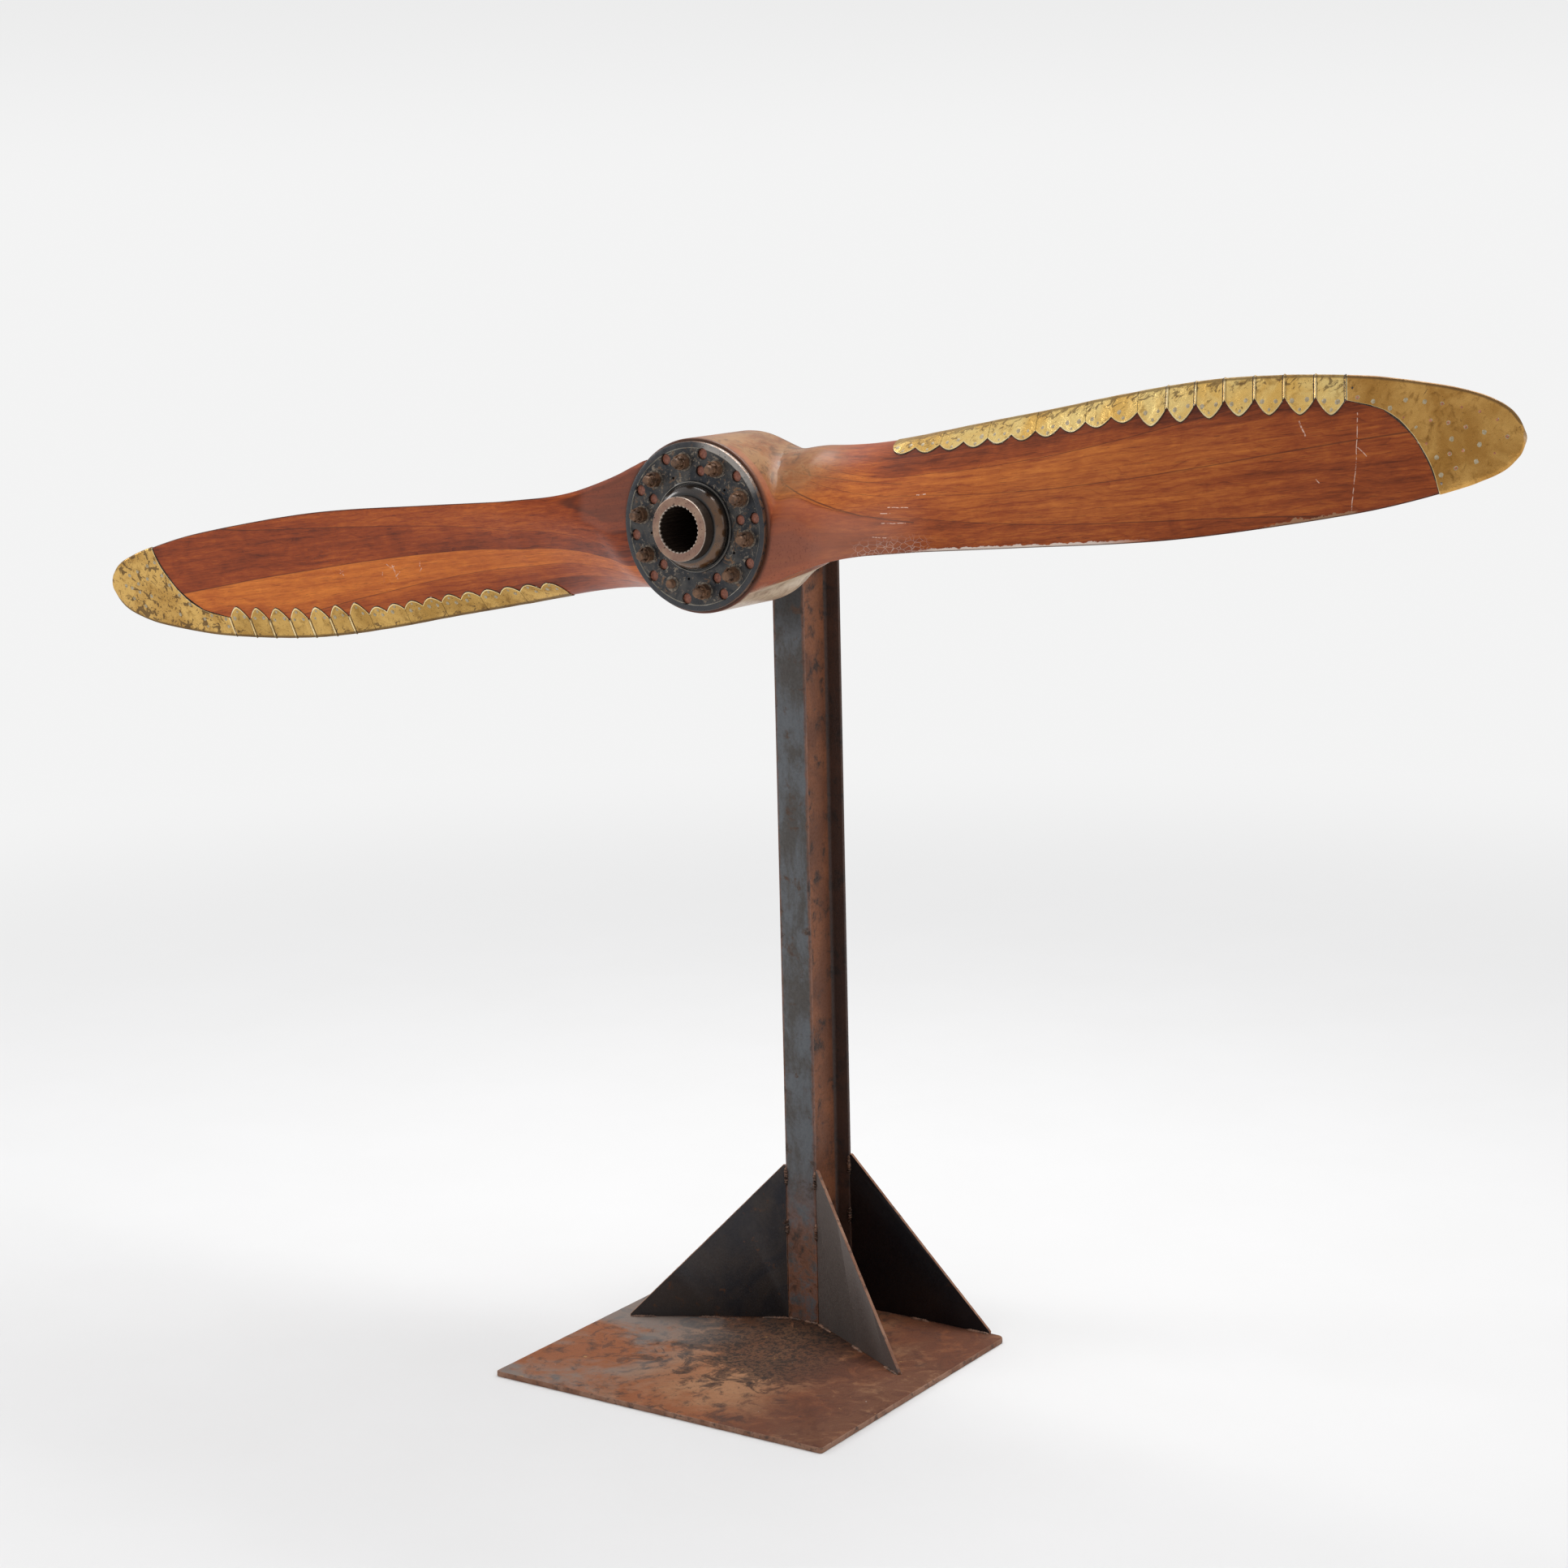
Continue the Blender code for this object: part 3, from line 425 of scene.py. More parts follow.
# %% [markdown]
# ## From points to pieces
#
# A piece is a mesh, its finishes and the body that it rides on. One helper makes the
# mesh from points and faces or from a bmesh, turns its faces outwards and marks sharp
# edges, so that the later cells only say what is special about their piece.

# %% Mesh helpers
def piece(name, build, finishes, body, replaces=(), smooth=38):
    """Finishes a bmesh as a named piece that rides on a body."""
    bmesh.ops.recalc_face_normals(build, faces=build.faces[:])
    made = as_object(build, name)
    for finish in finishes:
        made.data.materials.append(finish)
    if smooth:
        smooth_sides(made, smooth)
    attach(made, body)
    if replaces:
        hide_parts(*replaces)
    return made


def smooth_sides(made, angle):
    made.data.shade_smooth()
    made.data.set_sharp_from_angle(angle=math.radians(angle))


def join_rings(build, first, second, closed=True, finish=0):
    count = len(first)
    for k in range(count if closed else count - 1):
        n = (k + 1) % count
        build.faces.new((first[k], first[n], second[n], second[k])).material_index = finish


def join_all(build, rings, finish=0, ends=None, closed=False):
    """Joins neighbouring rings, then joins the last to the first or closes both ends."""
    for first, second in zip(rings, rings[1:]):
        join_rings(build, first, second, True, finish)
    if closed:
        join_rings(build, rings[-1], rings[0], True, finish)
        return
    for ring in (rings[0], rings[-1]):
        build.faces.new(ring).material_index = finish if ends is None else ends


def axis_ring(build, centre, radii, y, twist=0.0):
    """A ring of points round the Y axis through a centre, one for each radius."""
    ring = []
    for k, radius in enumerate(radii):
        a = 2 * math.pi * k / len(radii) + twist
        spot = (centre[0] + radius * math.cos(a), y, centre[2] + radius * math.sin(a))
        ring.append(build.verts.new(spot))
    return ring


def turned_to(build, centre, turn_to, radii, height=0.0):
    """A ring of points round a centre, one for each radius, facing along an axis."""
    ring = []
    for k, radius in enumerate(radii):
        a = 2 * math.pi * k / len(radii)
        spot = Vector((radius * math.cos(a), radius * math.sin(a), height))
        ring.append(build.verts.new(centre + turn_to @ spot))
    return ring


def hexagon(angle):
    """The reach of a hexagon at an angle, as a share of its corners' reach."""
    return math.cos(math.pi / 6) / math.cos(angle % (math.pi / 3) - math.pi / 6)


def lathe(build, profile, steps, centre=HUB, closed=False, corners=(), twist=0.0, finish=0):
    """Turns (radius, y) points about the Y axis. Rows named in corners are hexagons."""
    rings = []
    for row, (radius, y) in enumerate(profile):
        radii = [radius] * steps
        if row in corners:
            radii = [radius * hexagon(2 * math.pi * k / steps) for k in range(steps)]
        rings.append(axis_ring(build, centre, radii, y, twist))
    join_all(build, rings, finish, closed=closed)


def tube(build, path, radii, steps):
    """A round rod along a path of points, with a radius at each."""
    rings = []
    for k, (point, radius) in enumerate(zip(path, radii)):
        ahead = path[min(k + 1, len(path) - 1)] - path[max(k - 1, 0)]
        rings.append(turned_to(build, point, ahead.to_track_quat("Z", "Y"), [radius] * steps))
    join_all(build, rings)


def cut(target, cutters):
    """Applies an exact Boolean difference with each closed bmesh in turn."""
    for build in cutters:
        bmesh.ops.recalc_face_normals(build, faces=build.faces[:])
        apply_boolean(target, as_object(build, "cutter"), "DIFFERENCE")


def apply_boolean(target, tool, operation):
    step = target.modifiers.new("shape", "BOOLEAN")
    step.operation, step.solver, step.object = operation, "EXACT", tool
    graph = bpy.context.evaluated_depsgraph_get()
    made = bpy.data.meshes.new_from_object(target.evaluated_get(graph))
    target.modifiers.clear()
    target.data = made
    bpy.data.objects.remove(tool, do_unlink=True)


print("helpers ready")

# %% [markdown]
# ## The wooden body
#
# The real body is one block: a round boss with two blades that grow out of it in
# smooth hollows. A plain union of a turned boss and two lofted blades has a hard
# crease all round. Sculpting would smooth it, but could not be repeated exactly. So
# the union is made first, and then every point near the crease moves out by the
# rounded union of two distance fields, which is a true fillet of a chosen size.

# %% Loft the blades and turn the boss
RING_STEP = 0.0065
SECTION_STEPS = 26
BOSS_STEPS, SIDE_ROWS = 168, 24
WOOD_START, WOOD_END = 0.03, 0.9950
FILLET, TRAILING_FILLET = 0.034, 0.2
FILLET_ZONE, FRONT_FADE, MIDDLE_BAND = 0.36, 0.05, 0.03
BORE_RADIUS = 0.0556
BOSS_FRONT_ROUND, BOSS_REAR_ROUND = 0.003, 0.026


def section_ring(x):
    """Points round one section, closer together near both edges."""
    leading, trailing = station(x)[:2]
    shares = [(1 - math.cos(math.pi * k / SECTION_STEPS)) / 2 for k in range(SECTION_STEPS + 1)]
    back = [skin_point(x, share * (leading + trailing), 1) for share in shares]
    flat = [skin_point(x, share * (leading + trailing), -1) for share in shares[-1:0:-1]]
    return back + flat


def blade_form(side):
    build = bmesh.new()
    count = int((WOOD_END - WOOD_START) * TIP_RADIUS / RING_STEP)
    rings = []
    for k in range(count + 1):
        x = round(WOOD_START + (WOOD_END - WOOD_START) * k / count, 6)
        rings.append([build.verts.new(in_place(point, side)) for point in section_ring(x)])
    join_all(build, rings)
    return build


def boss_form():
    """The turned block, with rows close enough together to bend into a fillet."""
    rim = BOSS_RADIUS - BOSS_FRONT_ROUND
    profile = [(0.05, BOSS_FRONT), (0.10, BOSS_FRONT), (0.13, BOSS_FRONT), (rim, BOSS_FRONT)]
    for k in range(1, 4):
        a = math.radians(30 * k)
        y = BOSS_FRONT + BOSS_FRONT_ROUND * (1 - math.cos(a))
        profile.append((rim + BOSS_FRONT_ROUND * math.sin(a), y))
    side_length = BOSS_REAR - BOSS_REAR_ROUND - BOSS_FRONT - BOSS_FRONT_ROUND
    for k in range(1, SIDE_ROWS + 1):
        y = BOSS_FRONT + BOSS_FRONT_ROUND + side_length * k / SIDE_ROWS
        profile.append((BOSS_RADIUS, y))
    for k in range(1, 9):
        a = math.radians(90 * k / 8)
        radius = BOSS_RADIUS - BOSS_REAR_ROUND + BOSS_REAR_ROUND * math.cos(a)
        profile.append((radius, BOSS_REAR - BOSS_REAR_ROUND + BOSS_REAR_ROUND * math.sin(a)))
    profile += [(0.11, BOSS_REAR), (0.08, BOSS_REAR), (0.05, BOSS_REAR)]
    build = bmesh.new()
    lathe(build, profile, BOSS_STEPS)
    return build


# %% Join them and round the hollow between
def boss_distance(p):
    """Distance to the boss, below zero inside it."""
    middle = (BOSS_FRONT + BOSS_REAR) / 2
    corner = BOSS_REAR_ROUND if p.y > middle else BOSS_FRONT_ROUND
    out = math.hypot(p.x - HUB.x, p.z - HUB.z) - (BOSS_RADIUS - corner)
    along = abs(p.y - middle) - ((BOSS_REAR - BOSS_FRONT) / 2 - corner)
    return min(max(out, along), 0.0) + math.hypot(max(out, 0.0), max(along, 0.0)) - corner


def boss_normal(p):
    step = 0.0005
    slope = []
    for axis in range(3):
        shift = Vector((0, 0, 0))
        shift[axis] = step
        slope.append(boss_distance(p + shift) - boss_distance(p - shift))
    return Vector(slope).normalized()


def leading_share(p):
    """1 on the leading side of the middle line and 0 on the trailing side."""
    x, z = p.x - HUB.x, p.z - HUB.z
    out = x * math.cos(TILT) + z * math.sin(TILT)
    up = (z * math.cos(TILT) - x * math.sin(TILT)) * (1 if out > 0 else -1)
    t = min(max((up + MIDDLE_BAND) / (2 * MIDDLE_BAND), 0.0), 1.0)
    return t * t * (3 - 2 * t)


def round_hollows(body, trees):
    """Moves each skin point near the crease out onto the rounded union."""
    moves = {}
    for vertex in body.data.vertices:
        p = vertex.co
        if (p - HUB).length > FILLET_ZONE:
            continue
        ahead = min(max((p.y - BOSS_FRONT) / FRONT_FADE, 0.0), 1.0)
        reach = FILLET * ahead * ahead * (3 - 2 * ahead)
        reach *= TRAILING_FILLET + (1 - TRAILING_FILLET) * leading_share(p)
        to_boss = boss_distance(p)
        if to_boss > 0.0008:
            gap, other, own = to_boss, boss_normal(p), vertex.normal
        else:
            near = [tree.find_nearest(p) for tree in trees]
            spot = min(near, key=lambda hit: hit[3])
            gap, own = spot[3], vertex.normal
            other = (p - spot[0]).normalized() if gap > 0.0005 else own
        if gap >= reach or reach < 0.002:
            continue
        share = 1 - gap / reach
        way = (own * (1 - share / 2) + other * (share / 2)).normalized()
        moves[vertex.index] = p + way * (reach / 4 * share * share)
    for index, spot in moves.items():
        body.data.vertices[index].co = spot
    return len(moves)


def make_wood(finish):
    forms = {side: blade_form(side) for side in SIDE_TURN}
    trees = [BVHTree.FromBMesh(build) for build in forms.values()]
    node, slot = "wooden_propeller", "varnished_wood"
    body = piece("carved_body", boss_form(), [finish], "propeller", [node], None)
    for build in forms.values():
        bmesh.ops.recalc_face_normals(build, faces=build.faces[:])
        apply_boolean(body, as_object(build, "blade"), "UNION")
    weld = bmesh.new()
    weld.from_mesh(body.data)
    bmesh.ops.remove_doubles(weld, verts=weld.verts[:], dist=0.0005)
    weld.to_mesh(body.data)
    weld.free()
    moved = round_hollows(body, trees)
    bore = bmesh.new()
    lathe(bore, [(BORE_RADIUS, -0.12), (BORE_RADIUS, 0.14)], 96)
    cut(body, [bore])
    smooth_sides(body, 42)
    print("wooden body:", len(body.data.polygons), "faces,", moved, "points in the hollows")


# %% [markdown]
# ## Varnished walnut
#
# The body is glued from boards about 25 mm thick that stand one behind the other, so
# the carving cuts through them and shows their joints as long curved lines. One board
# is dark, the next one light. A colour table gives each board its tone, a warped ring
# pattern gives thin year lines, and stretched noises give streaks and pores. A wave
# texture alone looks like pine, so its rings are narrowed to faint lines.
#
# Wear sits at fixed places on a real object: dust on the boss, chips on the trailing
# edge, scratches from handling. Two colour ramps hold where the blade's edges run, so
# that the wear can follow them. Some marks are painted light and not wear: a highlight
# along the trailing edge and a pinkish sheen near the roots.

# %% Coordinates for the blade finishes
BOARD = 0.0246
EDGE_SPAN, EDGE_STOPS = 0.20, 31
EDGE_START, EDGE_LENGTH, EDGE_CROWDING = 0.04, 0.955, 0.62


def color_table(tree, value, stops, interpolation="LINEAR"):
    """Reads a colour at a value from (place, (red, green, blue)) stops."""
    ramp = add(tree, "ValToRGB", {0: value})
    ramp.color_ramp.interpolation = interpolation
    elements = ramp.color_ramp.elements
    for k, (spot, tone) in enumerate(stops):
        stop = elements[k] if k < 2 else elements.new(1.0)
        stop.position, stop.color = spot, shade(*tone)
    return ramp.outputs[0]


def blade_coordinates(tree, place):
    """The place turned level with the blades, and its height and radius on a blade."""
    moved = reckon(tree, "ADD", place, tuple(-HUB))
    level = add(tree, "VectorRotate", {"Vector": moved, "Axis": (0, 1, 0), "Angle": TILT}).outputs[0]
    parts = axes(tree, level)
    toward = calc(tree, "MULTIPLY", parts["Z"], calc(tree, "SIGN", parts["X"]))
    return level, toward, calc(tree, "ABSOLUTE", parts["X"])


def edge_line(tree, radius, leading):
    """How far the blade's edge lies from its middle line, seen square to the disc."""
    share = calc(tree, "DIVIDE", radius, TIP_RADIUS)
    stops = []
    for k in range(EDGE_STOPS):
        t = k / (EDGE_STOPS - 1)
        x = EDGE_START + EDGE_LENGTH * (t - EDGE_CROWDING * math.sin(2 * math.pi * t) / (2 * math.pi))
        reach = station(x)[0 if leading else 1] * math.cos(station(x)[5]) / EDGE_SPAN
        stops.append((x, (reach, reach, reach)))
    return calc(tree, "MULTIPLY", color_table(tree, share, stops), EDGE_SPAN)


def from_edges(tree, toward, radius):
    """Distances from the leading and the trailing edge."""
    behind = calc(tree, "SUBTRACT", edge_line(tree, radius, True), toward)
    ahead = calc(tree, "ADD", edge_line(tree, radius, False), toward)
    return behind, ahead


def strongest(tree, masks):
    total = masks[0]
    for mask in masks[1:]:
        total = calc(tree, "MAXIMUM", total, mask)
    return total


def both(tree, *masks):
    """High only where every mask is high."""
    total = masks[0]
    for mask in masks[1:]:
        total = calc(tree, "MULTIPLY", total, mask)
    return total


def within(tree, value, *limits):
    """High between two limits, each given as where the mask starts and where it is full."""
    return both(tree, *[between(tree, value, *limit) for limit in limits])


def scratch(tree, level, start, end, width):
    """A mask along the straight line between two (along, across) places."""
    run = Vector((end[0] - start[0], end[1] - start[1]))
    size, way = run.length, run.normalized()
    offset = reckon(tree, "SUBTRACT", level, (start[0], 0, start[1]))
    on = reckon(tree, "DOT_PRODUCT", offset, (way.x, 0, way.y))
    off = reckon(tree, "DOT_PRODUCT", offset, (-way.y, 0, way.x))
    from_middle = calc(tree, "ABSOLUTE", calc(tree, "SUBTRACT", on, size / 2))
    past = calc(tree, "SUBTRACT", from_middle, size / 2)
    worst = calc(tree, "MAXIMUM", past, calc(tree, "ABSOLUTE", off))
    return between(tree, worst, width, width * 0.4)


# %% Colours of the boards
LEFT_BOARDS = (0.47, 0.41, 0.71, 0.60, 0.46, 0.50, 0.45, 0.48)
RIGHT_BOARDS = (0.55, 0.63, 0.63, 0.56, 0.50, 0.46, 0.52, 0.48)
WOOD_RAMP = (
    (0.00, (0.040, 0.008, 0.002)), (0.22, (0.120, 0.021, 0.005)), (0.42, (0.285, 0.057, 0.011)),
    (0.62, (0.47, 0.130, 0.022)), (0.80, (0.64, 0.215, 0.036)), (1.00, (0.78, 0.33, 0.07)),
)


def board_tone(tree, number, tones):
    spot = calc(tree, "DIVIDE", calc(tree, "ADD", number, 0.5), len(tones))
    stops = [(k / len(tones), (tone, tone, tone)) for k, tone in enumerate(tones)]
    return calc(tree, "ADD", color_table(tree, spot, stops, "CONSTANT"), 0.0)


def wood_figure(tree, level, along, deep, across, number):
    """Thin year lines that arch where the carving cuts the rings, and the pores."""
    heart = calc(tree, "MULTIPLY_ADD", number, 0.021, -0.045)
    lean = calc(tree, "MULTIPLY", along, 0.05)
    high = calc(tree, "ADD", calc(tree, "SUBTRACT", across, heart), lean)
    behind = calc(tree, "ADD", deep, 0.075)
    log = add(tree, "CombineXYZ", {0: calc(tree, "MULTIPLY", along, 0.02), 1: high, 2: behind}).outputs[0]
    wobble = cloud(tree, stretched(tree, level, (5.0, 16.0, 16.0)), 1.0, 3.0, 0.55)
    shift = add(tree, "CombineXYZ", {1: calc(tree, "MULTIPLY", wobble, 0.075)}).outputs[0]
    settings = {"Vector": reckon(tree, "ADD", log, shift), "Scale": 23.0, "Distortion": 3.0}
    settings.update({"Detail": 3.0, "Detail Scale": 1.6})
    kind = {"wave_type": "RINGS", "rings_direction": "X", "wave_profile": "SAW"}
    rings = add(tree, "TexWave", settings, **kind).outputs["Fac"]
    pores = cloud(tree, stretched(tree, level, (24.0, 560.0, 560.0)), 1.0, 3.0, 0.7)
    return calc(tree, "POWER", rings, 7.0), pores


# %% Scratches, measured along and across the blades
SCRATCHES = (
    ((1.2027, 0.0486), (1.1997, -0.0214), 0.0010), ((1.1997, -0.0214), (1.1895, -0.0955), 0.0010),
    ((1.1053, 0.0470), (1.1155, 0.0242), 0.0016), ((1.2028, -0.0033), (1.2162, -0.0165), 0.0009),
    ((1.1324, -0.0429), (1.1386, -0.0497), 0.0010), ((0.4156, 0.0069), (0.4319, 0.0062), 0.0010),
    ((0.3655, -0.0070), (0.4045, -0.0116), 0.0009), ((0.3539, -0.0158), (0.3721, -0.0177), 0.0010),
    ((0.3594, -0.0315), (0.4056, -0.0355), 0.0009), ((0.3475, -0.0516), (0.3732, -0.0555), 0.0009),
    ((-0.7550, -0.0010), (-0.7420, -0.0150), 0.0011), ((-0.7530, -0.0080), (-0.7320, -0.0050), 0.0009),
    ((-0.7430, -0.0040), (-0.7440, -0.0300), 0.0011), ((-0.7460, -0.0260), (-0.7320, -0.0180), 0.0009),
    ((-0.8700, 0.0000), (-0.8670, -0.0120), 0.0012), ((-0.8730, -0.0070), (-0.8640, -0.0040), 0.0010),
    ((-0.6800, -0.0120), (-0.6740, -0.0030), 0.0010), ((-0.6850, -0.0210), (-0.6780, -0.0160), 0.0009),
    ((-0.7760, -0.0210), (-0.7720, -0.0150), 0.0010),
)

GLUE_WIDTH = 0.0014
GLUE_CURVES = (
    (0.75, (0.165, 0.0489), (0.201, 0.0302), (0.231, 0.0148), (0.270, -0.0013), (0.317, -0.0167),
     (0.372, -0.0288), (0.419, -0.0374)),
    (0.40, (0.154, 0.0752), (0.225, 0.0548), (0.299, 0.0381), (0.379, 0.0257)),
)


# %% Walnut finish
def walnut():
    finish, tree, shader, place = start_finish("varnished_walnut")
    level, toward, radius = blade_coordinates(tree, place)
    parts = axes(tree, level)
    along, deep, across = parts["X"], parts["Y"], parts["Z"]
    behind, ahead = from_edges(tree, toward, radius)
    streaks = cloud(tree, stretched(tree, level, (5.0, 130.0, 130.0)), 1.0, 6.0, 0.68)
    right = between(tree, along, -0.22, 0.22)
    left = calc(tree, "SUBTRACT", 1.0, right)

    warp = calc(tree, "MULTIPLY_ADD", cloud(tree, level, 2.2, 2.0), 0.003, -0.0015)
    from_front = calc(tree, "ADD", calc(tree, "SUBTRACT", deep, BOSS_FRONT), warp)
    layer = calc(tree, "DIVIDE", from_front, BOARD)
    number = calc(tree, "FLOOR", layer)
    right_tone = calc(tree, "MULTIPLY", board_tone(tree, number, RIGHT_BOARDS), right)
    left_tone = calc(tree, "MULTIPLY", board_tone(tree, number, LEFT_BOARDS), left)
    tone = calc(tree, "ADD", right_tone, left_tone)

    patches = cloud(tree, stretched(tree, level, (2.6, 17.0, 17.0)), 1.0, 4.0, 0.6, 0.5)
    curls = cloud(tree, stretched(tree, level, (16.0, 22.0, 22.0)), 1.0, 5.0, 0.62, 1.4)
    flecks = cloud(tree, stretched(tree, level, (46.0, 420.0, 420.0)), 1.0, 4.0, 0.75)
    for figure, amount in ((patches, 0.42), (streaks, 0.54), (curls, 0.28), (flecks, 0.36)):
        tone = swayed(tree, tone, figure, amount)
    lines, pores = wood_figure(tree, level, along, deep, across, number)
    near_brass = both(tree, between(tree, behind, 0.074, 0.046), between(tree, radius, 0.30, 0.36))
    outer, left_root = between(tree, along, 0.62, 1.22), between(tree, along, -0.46, -0.20)
    joint = between(tree, along, 0.660, 0.672)
    shades = ((lines, -0.09), (outer, -0.15), (left_root, -0.10), (joint, 0.03), (near_brass, -0.12))
    for mask, amount in shades:
        tone = calc(tree, "MULTIPLY_ADD", mask, amount, tone)

    color = color_table(tree, tone, WOOD_RAMP)
    color = tint(tree, color, (0.060, 0.014, 0.006), between(tree, pores, 0.57, 0.70), 0.55)
    inside = calc(tree, "SUBTRACT", calc(tree, "FRACT", layer), 0.5)
    seam = between(tree, calc(tree, "ABSOLUTE", inside), 0.482, 0.499)
    color = tint(tree, color, (0.045, 0.012, 0.006), seam, 0.65)
    for strength, *curve in GLUE_CURVES:
        parts = [scratch(tree, level, start, end, GLUE_WIDTH) for start, end in zip(curve, curve[1:])]
        fades = between(tree, deep, 0.02, 0.0), between(tree, streaks, 0.30, 0.46)
        line = both(tree, strongest(tree, parts), *fades)
        color = tint(tree, color, (0.070, 0.018, 0.008), line, strength)
    color = blend(tree, left, color, shade(1.12, 0.93, 0.72), "MULTIPLY")
    color = boss_wear(tree, level, along, deep, across, color)
    color = edge_wear(tree, level, along, radius, ahead, color)

    worn = cloud(tree, level, 9.0, 6.0, 0.6)
    feed(tree, shader, {"Base Color": color, "Roughness": between(tree, worn, 0.3, 0.75, 0.27, 0.42)})
    feed(tree, shader, {"Specular IOR Level": 0.22, "Coat Weight": 0.06, "Coat Roughness": 0.14})
    emboss(tree, shader, calc(tree, "MULTIPLY_ADD", worn, 0.5, streaks), 0.0006, 0.25)
    return finish


def boss_wear(tree, level, along, deep, across, color):
    """Dry dust on top of the boss, worn pale wood under it, a painted sheen round the front of the root, and
    dark grease by the flange.
    """
    reach = reckon(tree, "LENGTH", reckon(tree, "MULTIPLY", level, (1, 0, 1)))
    fibres = cloud(tree, level, 90.0, 6.0, 0.72, 1.0)
    broad = cloud(tree, level, 16.0, 5.0, 0.6)
    rough_patches = calc(tree, "MULTIPLY_ADD", fibres, 0.5, broad)

    on_boss = between(tree, swayed(tree, reach, broad, 0.16), 0.30, 0.17)
    top = both(tree, on_boss, between(tree, across, 0.010, 0.080), between(tree, along, -0.05, 0.05))
    color = tint(tree, color, (0.200, 0.098, 0.036), top, 0.7)
    dusty = both(tree, top, between(tree, rough_patches, 0.62, 0.86))
    color = tint(tree, color, (0.33, 0.185, 0.080), dusty, 0.7)
    smudge = both(tree, top, between(tree, cloud(tree, level, 30.0, 6.0, 0.7, 0.8), 0.53, 0.62))
    color = tint(tree, color, (0.085, 0.038, 0.014), smudge, 0.6)

    under = both(tree, between(tree, reach, 0.172, 0.160), between(tree, across, -0.02, -0.05))
    under = both(tree, under, between(tree, deep, -0.0898, -0.0868), between(tree, along, -0.10, 0.0))
    color = tint(tree, color, (0.34, 0.20, 0.115), under, 0.9)
    toward_right = calc(tree, "MULTIPLY_ADD", fibres, 0.5, calc(tree, "MULTIPLY", along, 1.6))
    pale = both(tree, under, between(tree, toward_right, 0.22, 0.44))
    color = tint(tree, color, (0.66, 0.53, 0.38), pale, 0.9)
    color = tint(tree, color, (0.20, 0.10, 0.05), both(tree, under, between(tree, broad, 0.52, 0.62)), 0.55)

    # Painted sheen: a ring round the boss's front and a patch on the right root's front are tinted pink, as
    # light on the varnish. Dark dots lie in the ring.
    sheen_ring = both(tree, between(tree, reach, 0.262, 0.238), between(tree, deep, -0.085, -0.089))
    color = tint(tree, color, (0.34, 0.13, 0.090), sheen_ring, 0.35)
    lower = both(tree, between(tree, reach, 0.40, 0.24), between(tree, deep, -0.065, -0.070))
    lower = both(tree, lower, between(tree, along, 0.05, 0.12))
    color = tint(tree, color, (0.40, 0.125, 0.070), lower, 0.45)
    dots = between(tree, cloud(tree, level, 260.0, 4.0, 0.75), 0.52, 0.72)
    color = tint(tree, color, (0.095, 0.030, 0.022), both(tree, sheen_ring, dots), 0.6)
    grease = both(tree, between(tree, reach, 0.156, 0.147), between(tree, deep, -0.080, -0.088))
    return tint(tree, color, (0.035, 0.020, 0.014), grease, 0.75)


def edge_wear(tree, level, along, radius, ahead, color):
    """Chips and a painted highlight along the trailing edge, a painted sheen near the root, crazing at the
    root, and scratches.
    """
    facing = axes(tree, add(tree, "TexCoord").outputs["Normal"])["Y"]
    front = between(tree, facing, 0.0, -0.3)
    notch = cloud(tree, stretched(tree, level, (70.0, 70.0, 70.0)), 1.0, 3.0, 0.6)
    jagged = calc(tree, "SUBTRACT", calc(tree, "MULTIPLY_ADD", notch, 0.018, -0.0035), ahead)
    chips = both(tree, between(tree, jagged, 0.0, 0.0008), within(tree, along, (1.040, 1.055), (1.20, 1.19)))
    color = tint(tree, color, (0.36, 0.20, 0.11), both(tree, chips, front), 0.8)
    # Painted highlight: a pale band on the front of the trailing edge stands for light on its rounded edge.
    edge = between(tree, swayed(tree, ahead, notch, 0.010), 0.0058, 0.0042)
    edge_highlight = both(tree, edge, within(tree, along, (0.40, 0.48), (0.86, 0.74)), front)
    color = tint(tree, color, (0.80, 0.68, 0.60), edge_highlight, 0.85)
    under = both(tree, between(tree, ahead, 0.0022, 0.0012), between(tree, radius, 0.28, 0.34))
    color = tint(tree, color, (0.045, 0.018, 0.010), under, 0.75)
    # Painted sheen: a pinkish tint near the trailing edge of the right root stands for light on the varnish.
    painted_sheen = both(tree, between(tree, ahead, 0.10, 0.03), within(tree, along, (0.20, 0.27), (0.46, 0.36)))
    color = tint(tree, color, (0.50, 0.27, 0.20), painted_sheen, 0.22)

    cells = {"Vector": stretched(tree, level, (85.0, 135.0, 135.0)), "Scale": 1.0}
    cracks = add(tree, "TexVoronoi", cells, feature="DISTANCE_TO_EDGE").outputs["Distance"]
    zone = both(tree, between(tree, ahead, 0.034, 0.010), within(tree, along, (0.29, 0.33), (0.47, 0.42)))
    crazed = both(tree, between(tree, cracks, 0.05, 0.015), zone, front)
    color = tint(tree, color, (0.78, 0.64, 0.56), crazed, 0.40)

    stray = add(tree, "TexNoise", {"Vector": level, "Scale": 60.0}).outputs["Color"]
    shaken = reckon(tree, "ADD", level, reckon(tree, "MULTIPLY", stray, (0.0024, 0.0, 0.0024)))
    marks = strongest(tree, [scratch(tree, shaken, *line) for line in SCRATCHES])
    broken = between(tree, cloud(tree, level, 150.0, 4.0, 0.7), 0.42, 0.56)
    return tint(tree, color, (0.74, 0.52, 0.42), both(tree, marks, broken, front), 0.8)


make_wood(walnut())

# %% [markdown]
# ## Brass on the edges and the tips
#
# Brass sheet was folded over the leading edge to guard it against stones and rain. The
# inner strips end in round scallops, the outer one in pointed tabs with a soldered rib
# between them, and a cap covers the tip. Cutting each outline with a Boolean would
# leave ragged faces, so every sheet is a grid whose last row lies on its outline.

